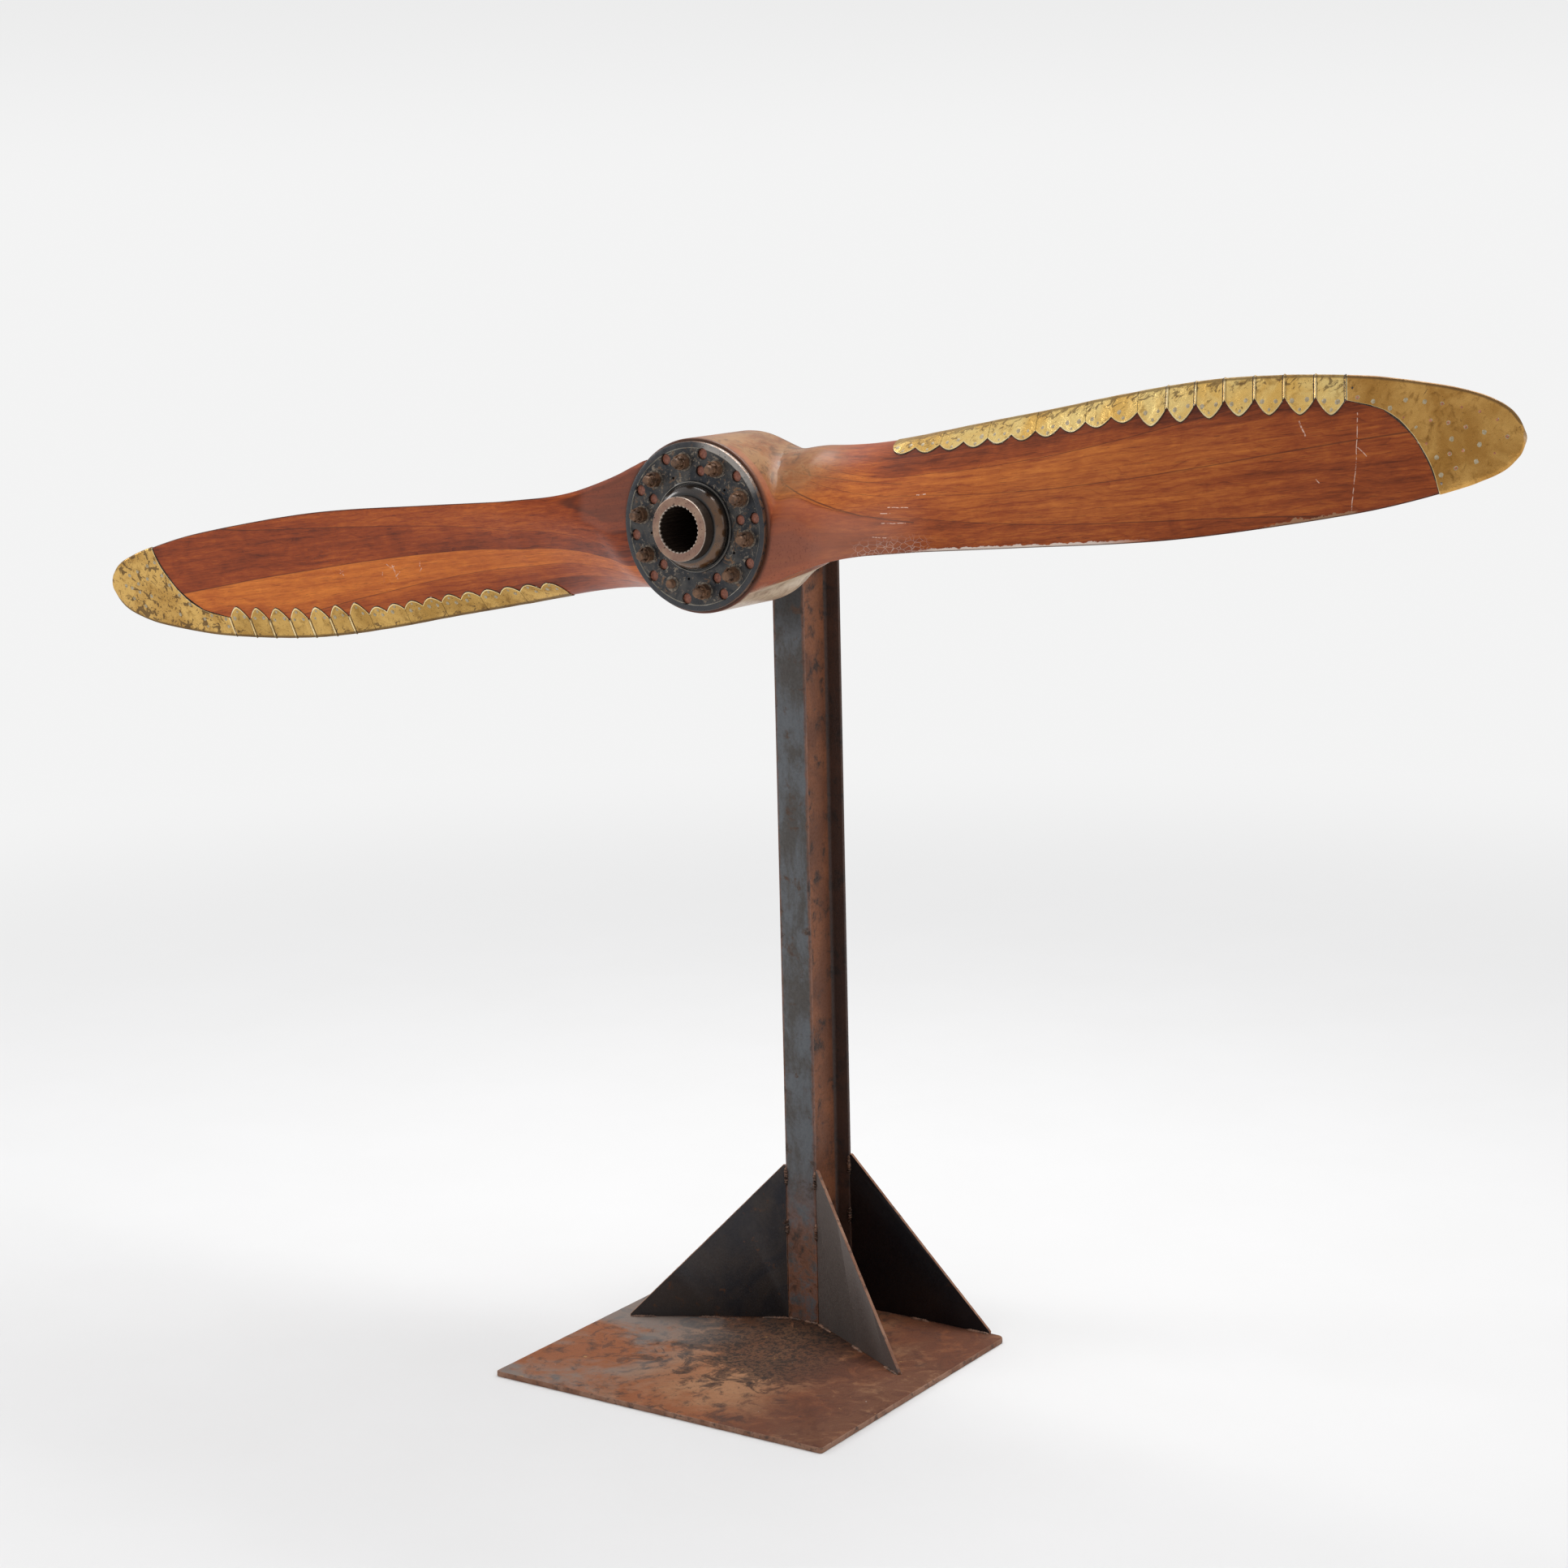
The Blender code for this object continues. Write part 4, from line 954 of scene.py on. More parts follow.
# %% Outlines of the sheets
BRASS_LIFT, BRASS_THICKNESS = 0.0004, 0.0011
BRASS_STEP = 0.0014
STRIP_ENDS = {
    "right": (0.226, 0.296, 0.3615, 0.426, 0.491, 0.557),
    "left": (0.272, 0.335, 0.396, 0.457, 0.517, 0.575),
}
RIBS = {
    "right": (0.594, 0.629, 0.664, 0.700, 0.735, 0.771, 0.806),
    "left": (0.608, 0.640, 0.674, 0.706, 0.740, 0.772, 0.806),
}
VALLEY, SCALLOP_TIP, TAB_TIP = 0.034, 0.0475, 0.061
SEAM = 0.0004
FOOT_WIDTH, FOOT_LIFT = 0.0015, 0.0001
ROUND_END, ROUND_LOW, ROUND_HIGH, ROUND_LEAST = 0.016, 0.012, 0.034, 0.040


def scallop(t):
    """A lobe with slanted sides and a round point: 0 at both ends, 1 in the middle."""
    return 1 - abs(2 * t - 1) ** 1.85


def pointed_tab(t):
    """A tab with nearly straight sides."""
    return 1 - abs(2 * t - 1) ** 1.60


def strip_depth(x, valleys, tip, lobe):
    """How far the sheet reaches back from the leading edge at x."""
    for low, high in zip(valleys, valleys[1:]):
        if low <= x <= high:
            return VALLEY + (tip - VALLEY) * lobe((x - low) / (high - low))
    return VALLEY


# %% Fold a sheet over the leading edge
RIB_HEIGHT, RIB_WIDTH = 0.0018, 0.0017
RIB_OFFSETS = (-0.0040, -0.0030, -0.0022, -0.0015, -0.0008, 0.0, 0.0008, 0.0015, 0.0022, 0.0030)
EDGE_SHARES = (0.0, 0.02, 0.06, 0.13, 0.24, 0.38, 0.54, 0.72, 0.86, 0.955, 0.985, 1.0)
BLOB_ROWS, BLOB_STEPS = ((1.0, -0.3), (1.0, 0.15), (0.8, 0.55), (0.45, 1.0)), 12
# Slots of a sheet. The highlight slot is a painted highlight, and the dirt-and-shade slot is dirt in the
# joints and painted shade beside the ribs.
SHEET, DIRT_AND_SHADE, HIGHLIGHTED, SOLDERED, COPPERY = range(5)


def rib_lift(x, ribs):
    return sum(RIB_HEIGHT * math.exp(-(((x - rib) * TIP_RADIUS / RIB_WIDTH) ** 2)) for rib in ribs)


def dent(x, depth, side):
    spot = Vector((x * TIP_RADIUS * 28, depth * 38, len(side) * 7.0))
    return 0.00045 * noise.noise(spot)


def sheet_ring(x, depth, side, lift, rows, extra=0.0):
    """Points from the sheet's back hem round the edge to its front hem."""
    ring = []
    for face in (1, -1):
        half = []
        for share in rows:
            here = share * depth
            rise = lift + extra * (1 if share < 0.97 else 0.3) + dent(x, here, side)
            half.append(in_place(skin_point(x, here, face, rise), side))
        ring.append(half)
    return ring[0][::-1] + ring[1][1:]


def sheet_stations(low, high, ribs):
    """Even stations between two ends, with closer ones over each rib."""
    count = max(8, int((high - low) * TIP_RADIUS / BRASS_STEP))
    gap = SEAM / TIP_RADIUS
    even = [low + gap + (high - low - 2 * gap) * k / count for k in range(count + 1)]
    close = [rib + offset / TIP_RADIUS for rib in ribs for offset in RIB_OFFSETS]
    close = [x for x in close if low + gap < x < high - gap]
    far = [x for x in even if all(abs(x - near) > 0.0004 for near in close)]
    return sorted(round(x, 7) for x in far + close)


def rib_finish(x, ribs):
    """A painted highlight on a rib's crest, and dirt with painted shade in the corners beside it."""
    if not ribs:
        return SHEET
    off = min(((x - rib) * TIP_RADIUS for rib in ribs), key=abs)
    if abs(off) < 0.0012:
        return HIGHLIGHTED
    # The bands beside the crest are dirt with painted shade in the crease, wider on the side towards the
    # hub.
    return DIRT_AND_SHADE if -0.0041 < off < -0.0019 or 0.0021 < off < 0.0031 else SHEET


def blob(build, x, depth, side, face, radius, finish, rise=0.12):
    """A low dome on the brass, as solder or a screw's head leaves it."""
    lift = BRASS_LIFT + BRASS_THICKNESS
    here = in_place(skin_point(x, depth, face, lift), side)
    out = in_place(skin_point(x, depth, face, lift + 0.01), side) - here
    turn_to = out.normalized().to_track_quat("Z", "Y")
    uneven = random.Random(round(x * 1e5) + round(depth * 1e5) * face)
    lean = [uneven.uniform(0.86, 1.14) for k in range(BLOB_STEPS)]
    rings = []
    for share, height in BLOB_ROWS:
        up = radius * rise * height if height > 0 else radius * height
        rings.append(turned_to(build, here, turn_to, [radius * share * part for part in lean], up))
    join_all(build, rings, finish)


def folded_sheet(name, side, low, high, depth_at, ribs, spots, finishes, node):
    """A thin closed sheet between two stations, with a dark joint round its outline and a painted highlight
    along its edge.
    """
    build = bmesh.new()
    stations = sheet_stations(low, high, ribs)
    outer, inner = [], []
    for x in stations:
        depth = depth_at(x)
        rise = BRASS_LIFT + BRASS_THICKNESS
        top = sheet_ring(x, depth, side, rise, EDGE_SHARES, rib_lift(x, ribs))
        foot = [in_place(skin_point(x, depth + FOOT_WIDTH, face, FOOT_LIFT), side) for face in (1, -1)]
        outer.append([build.verts.new(p) for p in [foot[0], *top, foot[1]]])
        under = sheet_ring(x, depth, side, FOOT_LIFT, (0.0, 0.13, 0.54, 1.0))
        inner.append([build.verts.new(p) for p in under])
    last = len(outer[0]) - 2
    for k, (first, second) in enumerate(zip(outer, outer[1:])):
        here = rib_finish((stations[k] + stations[k + 1]) / 2, ribs)
        for j in range(last + 1):
            finish = DIRT_AND_SHADE if j in (0, last) else here
            # The rows next to the outline get the painted highlight.
            if j in (1, 2, last - 2, last - 1) and here == SHEET:
                finish = HIGHLIGHTED
            build.faces.new((first[j], first[j + 1], second[j + 1], second[j])).material_index = finish
    for k, (first, second) in enumerate(zip(inner, inner[1:])):
        join_rings(build, first, second, False)
        for end in (0, -1):
            corners = (first[end], second[end], outer[k + 1][end], outer[k][end])
            build.faces.new(corners).material_index = DIRT_AND_SHADE
    for k in (0, -1):
        build.faces.new(outer[k] + inner[k][::-1]).material_index = DIRT_AND_SHADE
    for x, depth, radius, finish in spots:
        for face in (1, -1):
            blob(build, x, depth, side, face, radius, finish)
    return piece(name, build, finishes, "propeller", [node], 35)


# %% [markdown]
# ## Aged brass
#
# Old brass is bright only where hands and air keep it so. The right blade's strips are
# gold with brown smears near the edge, its cap is browner, and the left blade is olive
# with dark freckles. One finish with a few settings covers all of them, and a brighter
# copy of it is the painted highlight along the sheets' edges and the ribs' crests. The
# smears are a warped noise that is kept near the leading edge by the blade's own edge line.

# %% Brass finishes
def aged_brass(name, bright, dull, smear, freckles, blotchy=False):
    finish, tree, shader, place = start_finish(name)
    level, toward, radius = blade_coordinates(tree, place)
    behind = calc(tree, "SUBTRACT", edge_line(tree, radius, True), toward)
    wide = cloud(tree, level, 11.0, 5.0, 0.6, 0.8)
    fine = cloud(tree, level, 62.0, 6.0, 0.66, 0.6)
    color = mottled(tree, wide, 0.34, 0.64, bright, dull)
    brown = (dull[0] * 0.42, dull[1] * 0.36, dull[2] * 0.30)
    color = tint(tree, color, brown, between(tree, fine, 0.50, 0.74), 0.8)

    slanted = add(tree, "VectorRotate", {"Vector": level, "Axis": (0, 1, 0), "Angle": 0.6}).outputs[0]
    smears = cloud(tree, stretched(tree, slanted, (55.0, 110.0, 110.0)), 1.0, 5.0, 0.62, 1.2)
    bare = between(tree, behind, 0.002, 0.034, 0.0, 0.15)
    smeared = calc(tree, "SUBTRACT", calc(tree, "SUBTRACT", smears, bare), 0.50 - smear)
    low = 0.70 - freckles
    dots = between(tree, cloud(tree, level, 230.0, 3.0, 0.7), low, low + 0.05)
    dots = both(tree, dots, between(tree, wide, 0.40, 0.55, 0.35, 1.0))
    marks = [between(tree, smeared, 0.0, 0.08), between(tree, behind, 0.0050, 0.0015), dots]
    if blotchy:
        patch = between(tree, cloud(tree, level, 64.0, 4.0, 0.6, 0.6), 0.545, 0.575)
        marks.append(both(tree, patch, between(tree, wide, 0.32, 0.40)))
    dark = strongest(tree, marks)
    rough = calc(tree, "MULTIPLY_ADD", fine, 0.30, 0.12)
    feed(tree, shader, {
        "Base Color": tint(tree, color, (0.085, 0.042, 0.014), dark, 0.78),
        "Metallic": calc(tree, "MULTIPLY_ADD", dark, -0.3, 0.96),
        "Roughness": calc(tree, "MULTIPLY_ADD", dark, 0.22, rough),
    })
    hammered = cloud(tree, level, 42.0, 3.0, 0.5)
    emboss(tree, shader, calc(tree, "MULTIPLY_ADD", fine, 0.5, hammered), 0.0022, 0.65)
    return finish


def joint_dirt_and_shade():
    """Dark dirt in the joints, also laid as painted shade beside the ribs, with a few chalky specks."""
    finish, tree, shader, place = start_finish("joint_dirt_and_shade")
    grain = cloud(tree, place, 420.0, 3.0)
    color = mottled(tree, grain, 0.4, 0.6, (0.014, 0.009, 0.006), (0.07, 0.04, 0.02))
    chalk = between(tree, cloud(tree, place, 75.0, 4.0, 0.7), 0.60, 0.66)
    color = tint(tree, color, (0.42, 0.34, 0.28), chalk)
    feed(tree, shader, {"Base Color": color, "Roughness": 0.7})
    return finish


def grainy(name, grain, limits, first, second, metallic=0.0, rough=0.5):
    """A plain finish of two tones that one noise mixes."""
    finish, tree, shader, place = start_finish(name)
    color = mottled(tree, cloud(tree, place, *grain), *limits, first, second)
    feed(tree, shader, {"Base Color": color, "Roughness": rough, "Metallic": metallic})
    return finish


SPOT_GRAIN = (260.0, 4.0, 0.7)
RIGHT_GOLD = aged_brass("gold_brass", (1.0, 0.74, 0.29), (0.90, 0.55, 0.15), 0.025, 0.03)
RIGHT_CAP = aged_brass("brown_brass", (0.72, 0.41, 0.12), (0.48, 0.235, 0.055), -0.10, 0.05)
LEFT_OLIVE = aged_brass("olive_brass", (0.66, 0.41, 0.125), (0.44, 0.25, 0.065), -0.06, 0.09)
LEFT_CAP = aged_brass("freckled_brass", (0.72, 0.45, 0.14), (0.50, 0.28, 0.075), -0.07, 0.12, True)
# A brighter brass, painted as the highlight on the sheets' edges, the ribs' crests and the cap's rim.
HIGHLIGHT_BRASS = aged_brass("highlight_brass", (1.0, 0.84, 0.50), (0.90, 0.66, 0.30), -0.30, -0.3)
SOLDER = grainy("solder_grey", SPOT_GRAIN, (0.35, 0.65), (0.34, 0.26, 0.14), (0.52, 0.44, 0.31), 0.45)
COPPER = grainy("copper_pink", SPOT_GRAIN, (0.35, 0.65), (0.30, 0.11, 0.05), (0.62, 0.27, 0.15), 0.5)
SHARED = [joint_dirt_and_shade(), HIGHLIGHT_BRASS, SOLDER, COPPER]
STRIP_FINISHES = {"right": [RIGHT_GOLD, *SHARED], "left": [LEFT_OLIVE, *SHARED]}
CAP_FINISHES = {"right": [RIGHT_CAP, *SHARED], "left": [LEFT_CAP, *SHARED]}


# %% Strips with their scallops, ribs and solder
def lobe_spots(low, high, tip, chance):
    """Solder in one lobe: a pair near the lobe's foot and one near its point."""
    middle, half = (low + high) / 2, (high - low) / 2
    spots = []
    for sign in (-1, 1):
        if chance.random() < 0.85:
            x = round(middle + sign * half * chance.uniform(0.38, 0.52), 6)
            depth = tip * chance.uniform(0.60, 0.68)
            spots.append((x, depth, chance.uniform(0.0030, 0.0045), SOLDERED))
    x = round(middle + half * chance.uniform(-0.08, 0.08), 6)
    depth = tip * chance.uniform(0.84, 0.88)
    spots.append((x, depth, chance.uniform(0.0024, 0.0032), SOLDERED))
    return spots


def make_strips(side):
    ends, finishes = STRIP_ENDS[side], STRIP_FINISHES[side]
    chance = random.Random(len(side))
    for number, (low, high) in enumerate(zip(ends, ends[1:]), 1):
        middle = (low + high) / 2
        valleys = (low, middle, high)
        depth = functools.partial(strip_depth, valleys=valleys, tip=SCALLOP_TIP, lobe=scallop)
        if number == 1:
            depth = functools.partial(first_strip_depth, valleys=valleys)
        spots = lobe_spots(low, middle, SCALLOP_TIP, chance)
        spots += lobe_spots(middle, high, SCALLOP_TIP, chance)
        name, node = f"scalloped_strip_{side}_{number}", f"edge_brass_{side}_{number}"
        folded_sheet(name, side, low, high, depth, (), spots, finishes, node)
    valleys = (ends[-1], *RIBS[side])
    spots = []
    for low, high in zip(valleys, valleys[1:]):
        spots += lobe_spots(low, high, TAB_TIP, chance)
    for rib in valleys[1:-1]:
        spots.append((rib, VALLEY - 0.0010, 0.0022, DIRT_AND_SHADE))
    depth = functools.partial(strip_depth, valleys=valleys, tip=TAB_TIP, lobe=pointed_tab)
    name, node = f"ribbed_strip_{side}", f"ribbed_brass_{side}"
    folded_sheet(name, side, valleys[0], valleys[-1], depth, valleys[1:], spots, finishes, node)


def first_strip_depth(x, valleys):
    """The first strip starts with a round end and not with a straight seam."""
    depth = strip_depth(x, valleys, SCALLOP_TIP, scallop)
    part = (x - valleys[0]) / ROUND_END
    if part < 1:
        rounded = ROUND_LOW + ROUND_HIGH * math.sqrt(1 - (1 - max(part, 0.0)) ** 2)
        depth = min(max(depth, ROUND_LEAST), rounded)
    return depth


for side_name in SIDE_TURN:
    make_strips(side_name)

# %% [markdown]
# Each cap is held by small screws. Solder filled the outer ones, and they show as dull
# grey dots; the others show copper. Their places were read from the photograph as
# shares of the radius and of the chord, and the back face gets the same ones.

# %% Cap over the tip, with its screws
CAP_EDGE = (
    (0.000, 0.806), (0.186, 0.806), (0.211, 0.831), (0.2835, 0.856), (0.4227, 0.876),
    (0.60, 0.890), (0.771, 0.899), (1.00, 0.905),
)
CAP_ROWS, CAP_COLUMNS = 36, 60
CAP_END, CAP_RIM, CAP_FOOT, CAP_CROWDING = 0.9960, 0.004, 0.0010, 1.6
GREY_SCREWS = {
    "right": (
        (0.8361, 0.189), (0.8546, 0.237), (0.8719, 0.166), (0.8926, 0.168), (0.8829, 0.390),
        (0.9205, 0.511), (0.9038, 0.669), (0.9077, 0.836), (0.9555, 0.448), (0.9500, 0.593),
        (0.9455, 0.779),
    ),
    "left": (
        (0.9066, 0.821), (0.9220, 0.802), (0.9006, 0.650), (0.8922, 0.527), (0.8805, 0.405),
        (0.8672, 0.304), (0.9594, 0.732), (0.9712, 0.559), (0.9311, 0.391), (0.9639, 0.317),
        (0.9473, 0.225), (0.8901, 0.175), (0.8496, 0.152), (0.8358, 0.192), (0.8134, 0.165),
        (0.9476, 0.577), (0.9613, 0.511), (0.9497, 0.446), (0.8125, 0.091), (0.8483, 0.075),
        (0.9430, 0.758), (0.9286, 0.633),
    ),
}
COPPER_SCREWS = {
    "right": (
        (0.8187, 0.160), (0.9115, 0.176), (0.8695, 0.312), (0.8983, 0.333), (0.9175, 0.353),
        (0.8933, 0.536), (0.9179, 0.652), (0.9239, 0.801), (0.9323, 0.191), (0.9516, 0.207),
        (0.9360, 0.394), (0.9693, 0.270), (0.9795, 0.515), (0.9319, 0.639), (0.9652, 0.726),
    ),
    "left": (),
}
DARK_SCREWS = {"right": ((0.8131, 0.089), (0.9076, 0.915)), "left": ()}


def cap_ring(side, station_at, lift, uneven=True):
    """One ring round both faces. station_at turns the cap's edge into the ring's place."""
    halves = []
    for face in (1, -1):
        half = []
        for row in range(CAP_ROWS + 1):
            share = (1 - math.cos(math.pi * row / CAP_ROWS)) / 2
            x = round(station_at(curve_value(CAP_EDGE, share)), 6)
            depth = share * sum(station(x)[:2])
            rise = lift + (dent(x, depth, side) if uneven else 0.0)
            half.append(in_place(skin_point(x, depth, face, rise), side))
        halves.append(half)
    return halves[0] + halves[1][-2:0:-1]


def cap_grid(side, lift):
    """Rings from the sheath's slanted edge to the tip."""
    rings = []
    for t in (0.0, CAP_RIM, *(c / CAP_COLUMNS for c in range(1, CAP_COLUMNS + 1))):
        reach = 1 - (1 - t) ** CAP_CROWDING
        rings.append(cap_ring(side, lambda edge: edge + (CAP_END - edge) * reach, lift))
    return rings


def cap_foot(side):
    return cap_ring(side, lambda edge: edge - CAP_FOOT, FOOT_LIFT, False)


def cap_screws(build, side):
    """Screws of three finishes on both faces. A copper one lies in a grey ring."""
    rows = ((GREY_SCREWS, 0.0038, SOLDERED), (COPPER_SCREWS, 0.0024, COPPERY), (DARK_SCREWS, 0.0022, DIRT_AND_SHADE))
    count = 0
    for table, radius, finish in rows:
        for x, share in table[side]:
            depth = share * sum(station(x)[:2])
            for face in (1, -1):
                blob(build, x, depth, side, face, radius, finish, 0.08)
                if finish == COPPERY:
                    blob(build, x, depth, side, face, radius * 1.4, SOLDERED, 0.015)
                count += 1
    return count


def make_cap(side):
    build = bmesh.new()
    top = [[build.verts.new(p) for p in ring] for ring in cap_grid(side, BRASS_LIFT + BRASS_THICKNESS)]
    foot = [build.verts.new(p) for p in cap_foot(side)]
    join_rings(build, foot, top[0], True, DIRT_AND_SHADE)
    for k, (first, second) in enumerate(zip(top, top[1:])):
        # The cap's first band, by its edge, gets the painted highlight.
        join_rings(build, first, second, True, HIGHLIGHTED if k == 0 else SHEET)
    build.faces.new(top[-1])
    build.faces.new(foot).material_index = DIRT_AND_SHADE
    print("screws on the", side, "cap:", cap_screws(build, side))
    name, node = f"tip_cap_{side}", f"tip_brass_{side}"
    piece(name, build, CAP_FINISHES[side], "propeller", [node], 35)


for side_name in SIDE_TURN:
    make_cap(side_name)

# %% [markdown]
# ## The hub
#
# The hub is a steel tube with a toothed bore, which slid onto the engine's shaft. A
# drilled flange clamps the wood with ten bolts and slotted nuts. The flange is turned,
# with a raised rim and a domed collar, and its holes are cut with Booleans, because a
# drill cuts cleanly through every step of the profile in the same way.

# %% Steel finishes
def from_axis(tree, place):
    """Distance from the hub's axis, and the vector from the axis."""
    out = reckon(tree, "MULTIPLY", reckon(tree, "ADD", place, tuple(-HUB)), (1, 0, 1))
    return reckon(tree, "LENGTH", out), out


def oily_steel():
    finish, tree, shader, place = start_finish("oily_flange_steel")
    wide = cloud(tree, place, 22.0, 6.0, 0.62, 0.8)
    fine = cloud(tree, place, 130.0, 5.0, 0.7)
    grime = cloud(tree, place, 38.0, 5.0, 0.7, 1.2)
    chips = cloud(tree, place, 75.0, 5.0, 0.72, 0.8)
    reach, out = from_axis(tree, place)
    rim = between(tree, reach, RIM_INNER - 0.0004, RIM_INNER + 0.0004)
    pale = both(tree, between(tree, chips, 0.58, 0.64), between(tree, reach, RIM_INNER, RIM_INNER - 0.004))
    from_step = calc(tree, "ABSOLUTE", calc(tree, "SUBTRACT", reach, RIM_INNER))
    line = both(tree, between(tree, from_step, 0.0009, 0.0004), between(tree, wide, 0.36, 0.52, 0.25, 1.0))
    lit = calc(tree, "DIVIDE", reckon(tree, "DOT_PRODUCT", out, (0.60, 0.0, 0.80)), reach)
    lit = between(tree, swayed(tree, lit, wide, 0.3), 0.84, 0.98)
    brown = both(tree, between(tree, reach, 0.1440, 0.1448), between(tree, fine, 0.40, 0.52))
    color = mottled(tree, wide, 0.35, 0.68, (0.022, 0.025, 0.031), (0.080, 0.076, 0.072))
    color = layered(
        tree, color,
        ((0.24, 0.185, 0.135), between(tree, fine, 0.57, 0.68)),
        ((0.25, 0.135, 0.065), between(tree, grime, 0.57, 0.66), 0.75),
        ((0.050, 0.052, 0.058), rim, 0.75),
        ((0.33, 0.27, 0.205), pale, 0.70),
        ((0.46, 0.42, 0.34), line, 0.8),
        ((0.50, 0.46, 0.42), both(tree, lit, rim, between(tree, fine, 0.30, 0.44)), 0.75),
        ((0.20, 0.10, 0.05), brown, 0.7),
    )
    rough = between(tree, fine, 0.3, 0.75, 0.24, 0.58)
    feed(tree, shader, {"Base Color": color, "Metallic": 0.60, "Roughness": rough})
    emboss(tree, shader, calc(tree, "MULTIPLY_ADD", fine, 0.5, grime), 0.0007, 0.6)
    return finish


def collar_steel():
    finish, tree, shader, place = start_finish("browned_collar_steel")
    wide = cloud(tree, place, 26.0, 5.0, 0.6, 0.5)
    fine = cloud(tree, place, 160.0, 5.0, 0.7)
    reach, out = from_axis(tree, place)
    # Painted light: the brown band on the dome shows only towards the lower right, where light falls, and
    # elsewhere the dome stays dark.
    right = calc(tree, "DIVIDE", reckon(tree, "DOT_PRODUCT", out, (0.85, 0.0, -0.53)), reach)
    right = between(tree, right, -0.35, 0.55, 0.12, 1.0)
    broken = between(tree, wide, 0.36, 0.50, 0.35, 1.0)
    lit_band = both(tree, within(tree, reach, (0.0585, 0.0625), (0.0735, 0.0690)), right, broken)
    color = blend(tree, lit_band, shade(0.018, 0.016, 0.015), shade(0.125, 0.055, 0.017))
    color = tint(tree, color, (0.04, 0.026, 0.018), between(tree, fine, 0.52, 0.70), 0.8)
    from_lip = calc(tree, "ABSOLUTE", calc(tree, "SUBTRACT", reach, 0.0766))
    color = tint(tree, color, (0.34, 0.30, 0.25), between(tree, from_lip, 0.0008, 0.0003), 0.55)
    feed(tree, shader, {"Base Color": color, "Metallic": 0.5, "Coat Weight": 0.9, "Coat Roughness": 0.16})
    feed(tree, shader, {"Roughness": between(tree, wide, 0.3, 0.7, 0.20, 0.40)})
    emboss(tree, shader, wide, 0.0004, 0.2)
    return finish


def bare_steel():
    finish, tree, shader, place = start_finish("worn_tube_steel")
    wide = cloud(tree, place, 34.0, 5.0, 0.6)
    fine = cloud(tree, place, 260.0, 4.0, 0.7)
    depth = axes(tree, place)["Y"]
    reach = from_axis(tree, place)[0]
    worn = strongest(tree, [between(tree, reach, 0.0542, 0.0549), between(tree, reach, 0.0413, 0.0408)])
    worn = both(tree, worn, between(tree, depth, -0.1415, -0.1435), between(tree, fine, 0.34, 0.46))
    color = mottled(tree, wide, 0.38, 0.66, (0.27, 0.155, 0.115), (0.38, 0.25, 0.175))
    color = layered(
        tree, color,
        ((0.10, 0.06, 0.04), between(tree, fine, 0.58, 0.72)),
        ((0.055, 0.038, 0.028), between(tree, depth, -0.1440, -0.1405)),
        ((0.62, 0.54, 0.46), worn, 0.8),
        ((0.05, 0.03, 0.02), between(tree, cloud(tree, place, 120.0, 2.0), 0.66, 0.69)),
    )
    rough = between(tree, fine, 0.3, 0.75, 0.32, 0.55)
    feed(tree, shader, {"Base Color": color, "Metallic": 0.6, "Roughness": rough})
    emboss(tree, shader, calc(tree, "ADD", fine, wide), 0.0004, 0.4)
    return finish


def greasy_rust():
    finish, tree, shader, place = start_finish("greasy_rust")
    wide = cloud(tree, place, 90.0, 5.0, 0.65, 0.4)
    fine = cloud(tree, place, 420.0, 4.0, 0.7)
    color = mottled(tree, wide, 0.34, 0.66, (0.075, 0.042, 0.027), (0.22, 0.115, 0.062))
    color = tint(tree, color, (0.34, 0.20, 0.12), between(tree, fine, 0.56, 0.74))
    rough = between(tree, fine, 0.3, 0.7, 0.38, 0.72)
    feed(tree, shader, {"Base Color": color, "Metallic": 0.35, "Roughness": rough})
    emboss(tree, shader, calc(tree, "ADD", fine, wide), 0.0004, 0.3)
    return finish


RIM_INNER, RIM_RISE = 0.1345, 0.0012
OILY, COLLAR, BARE, GREASY = oily_steel(), collar_steel(), bare_steel(), greasy_rust()
PLUG_TONES = (0.20, 0.062, 0.035), (0.40, 0.150, 0.095)
SEAT_TONES = (0.065, 0.055, 0.048), (0.27, 0.22, 0.17)
PLUG = grainy("wood_in_holes", (300.0, 4.0, 0.7), (0.3, 0.7), *PLUG_TONES, rough=0.45)
SEAT = grainy("scraped_seat", (210.0, 5.0, 0.72), (0.38, 0.60), *SEAT_TONES, metallic=0.5)

# %% Front flange with its collar
FLANGE_FRONT, FLANGE_REAR = -0.0988, -0.0908
FLANGE_RADIUS, TUBE_RADIUS = 0.145, 0.0553
PLUG_FRONT, PLUG_REAR = -0.0942, -0.0915
BOLT_COUNT, BOLT_CIRCLE, BOLT_PHASE = 10, 0.1115, math.radians(99.7)
BARE_BOLT = 6
HOLE_ROWS = (
    (10, 0.1260, math.radians(116.7), 0.0095),
    (5, 0.0962, math.radians(80.9), 0.0090),
    (5, 0.0910, math.radians(116.9), 0.0022),
)
SMALL_HOLE, BOLT_HOLE = 0.005, 0.0083
COLLAR_OUTSIDE, COLLAR_BORE = 0.0779, TUBE_RADIUS + 0.0003
COLLAR_PROFILE = (
    (0.0786, 0.0), (0.0782, 0.0034), (0.0772, 0.0040), (0.0756, 0.0038), (0.0746, 0.0020),
    (0.0734, 0.0020), (0.0728, 0.0060), (0.0722, 0.0095), (0.0708, 0.0130), (0.0688, 0.0162),
    (0.0662, 0.0190), (0.0632, 0.0212), (0.0600, 0.0226), (0.0580, 0.0232), (COLLAR_BORE, 0.0232),
)


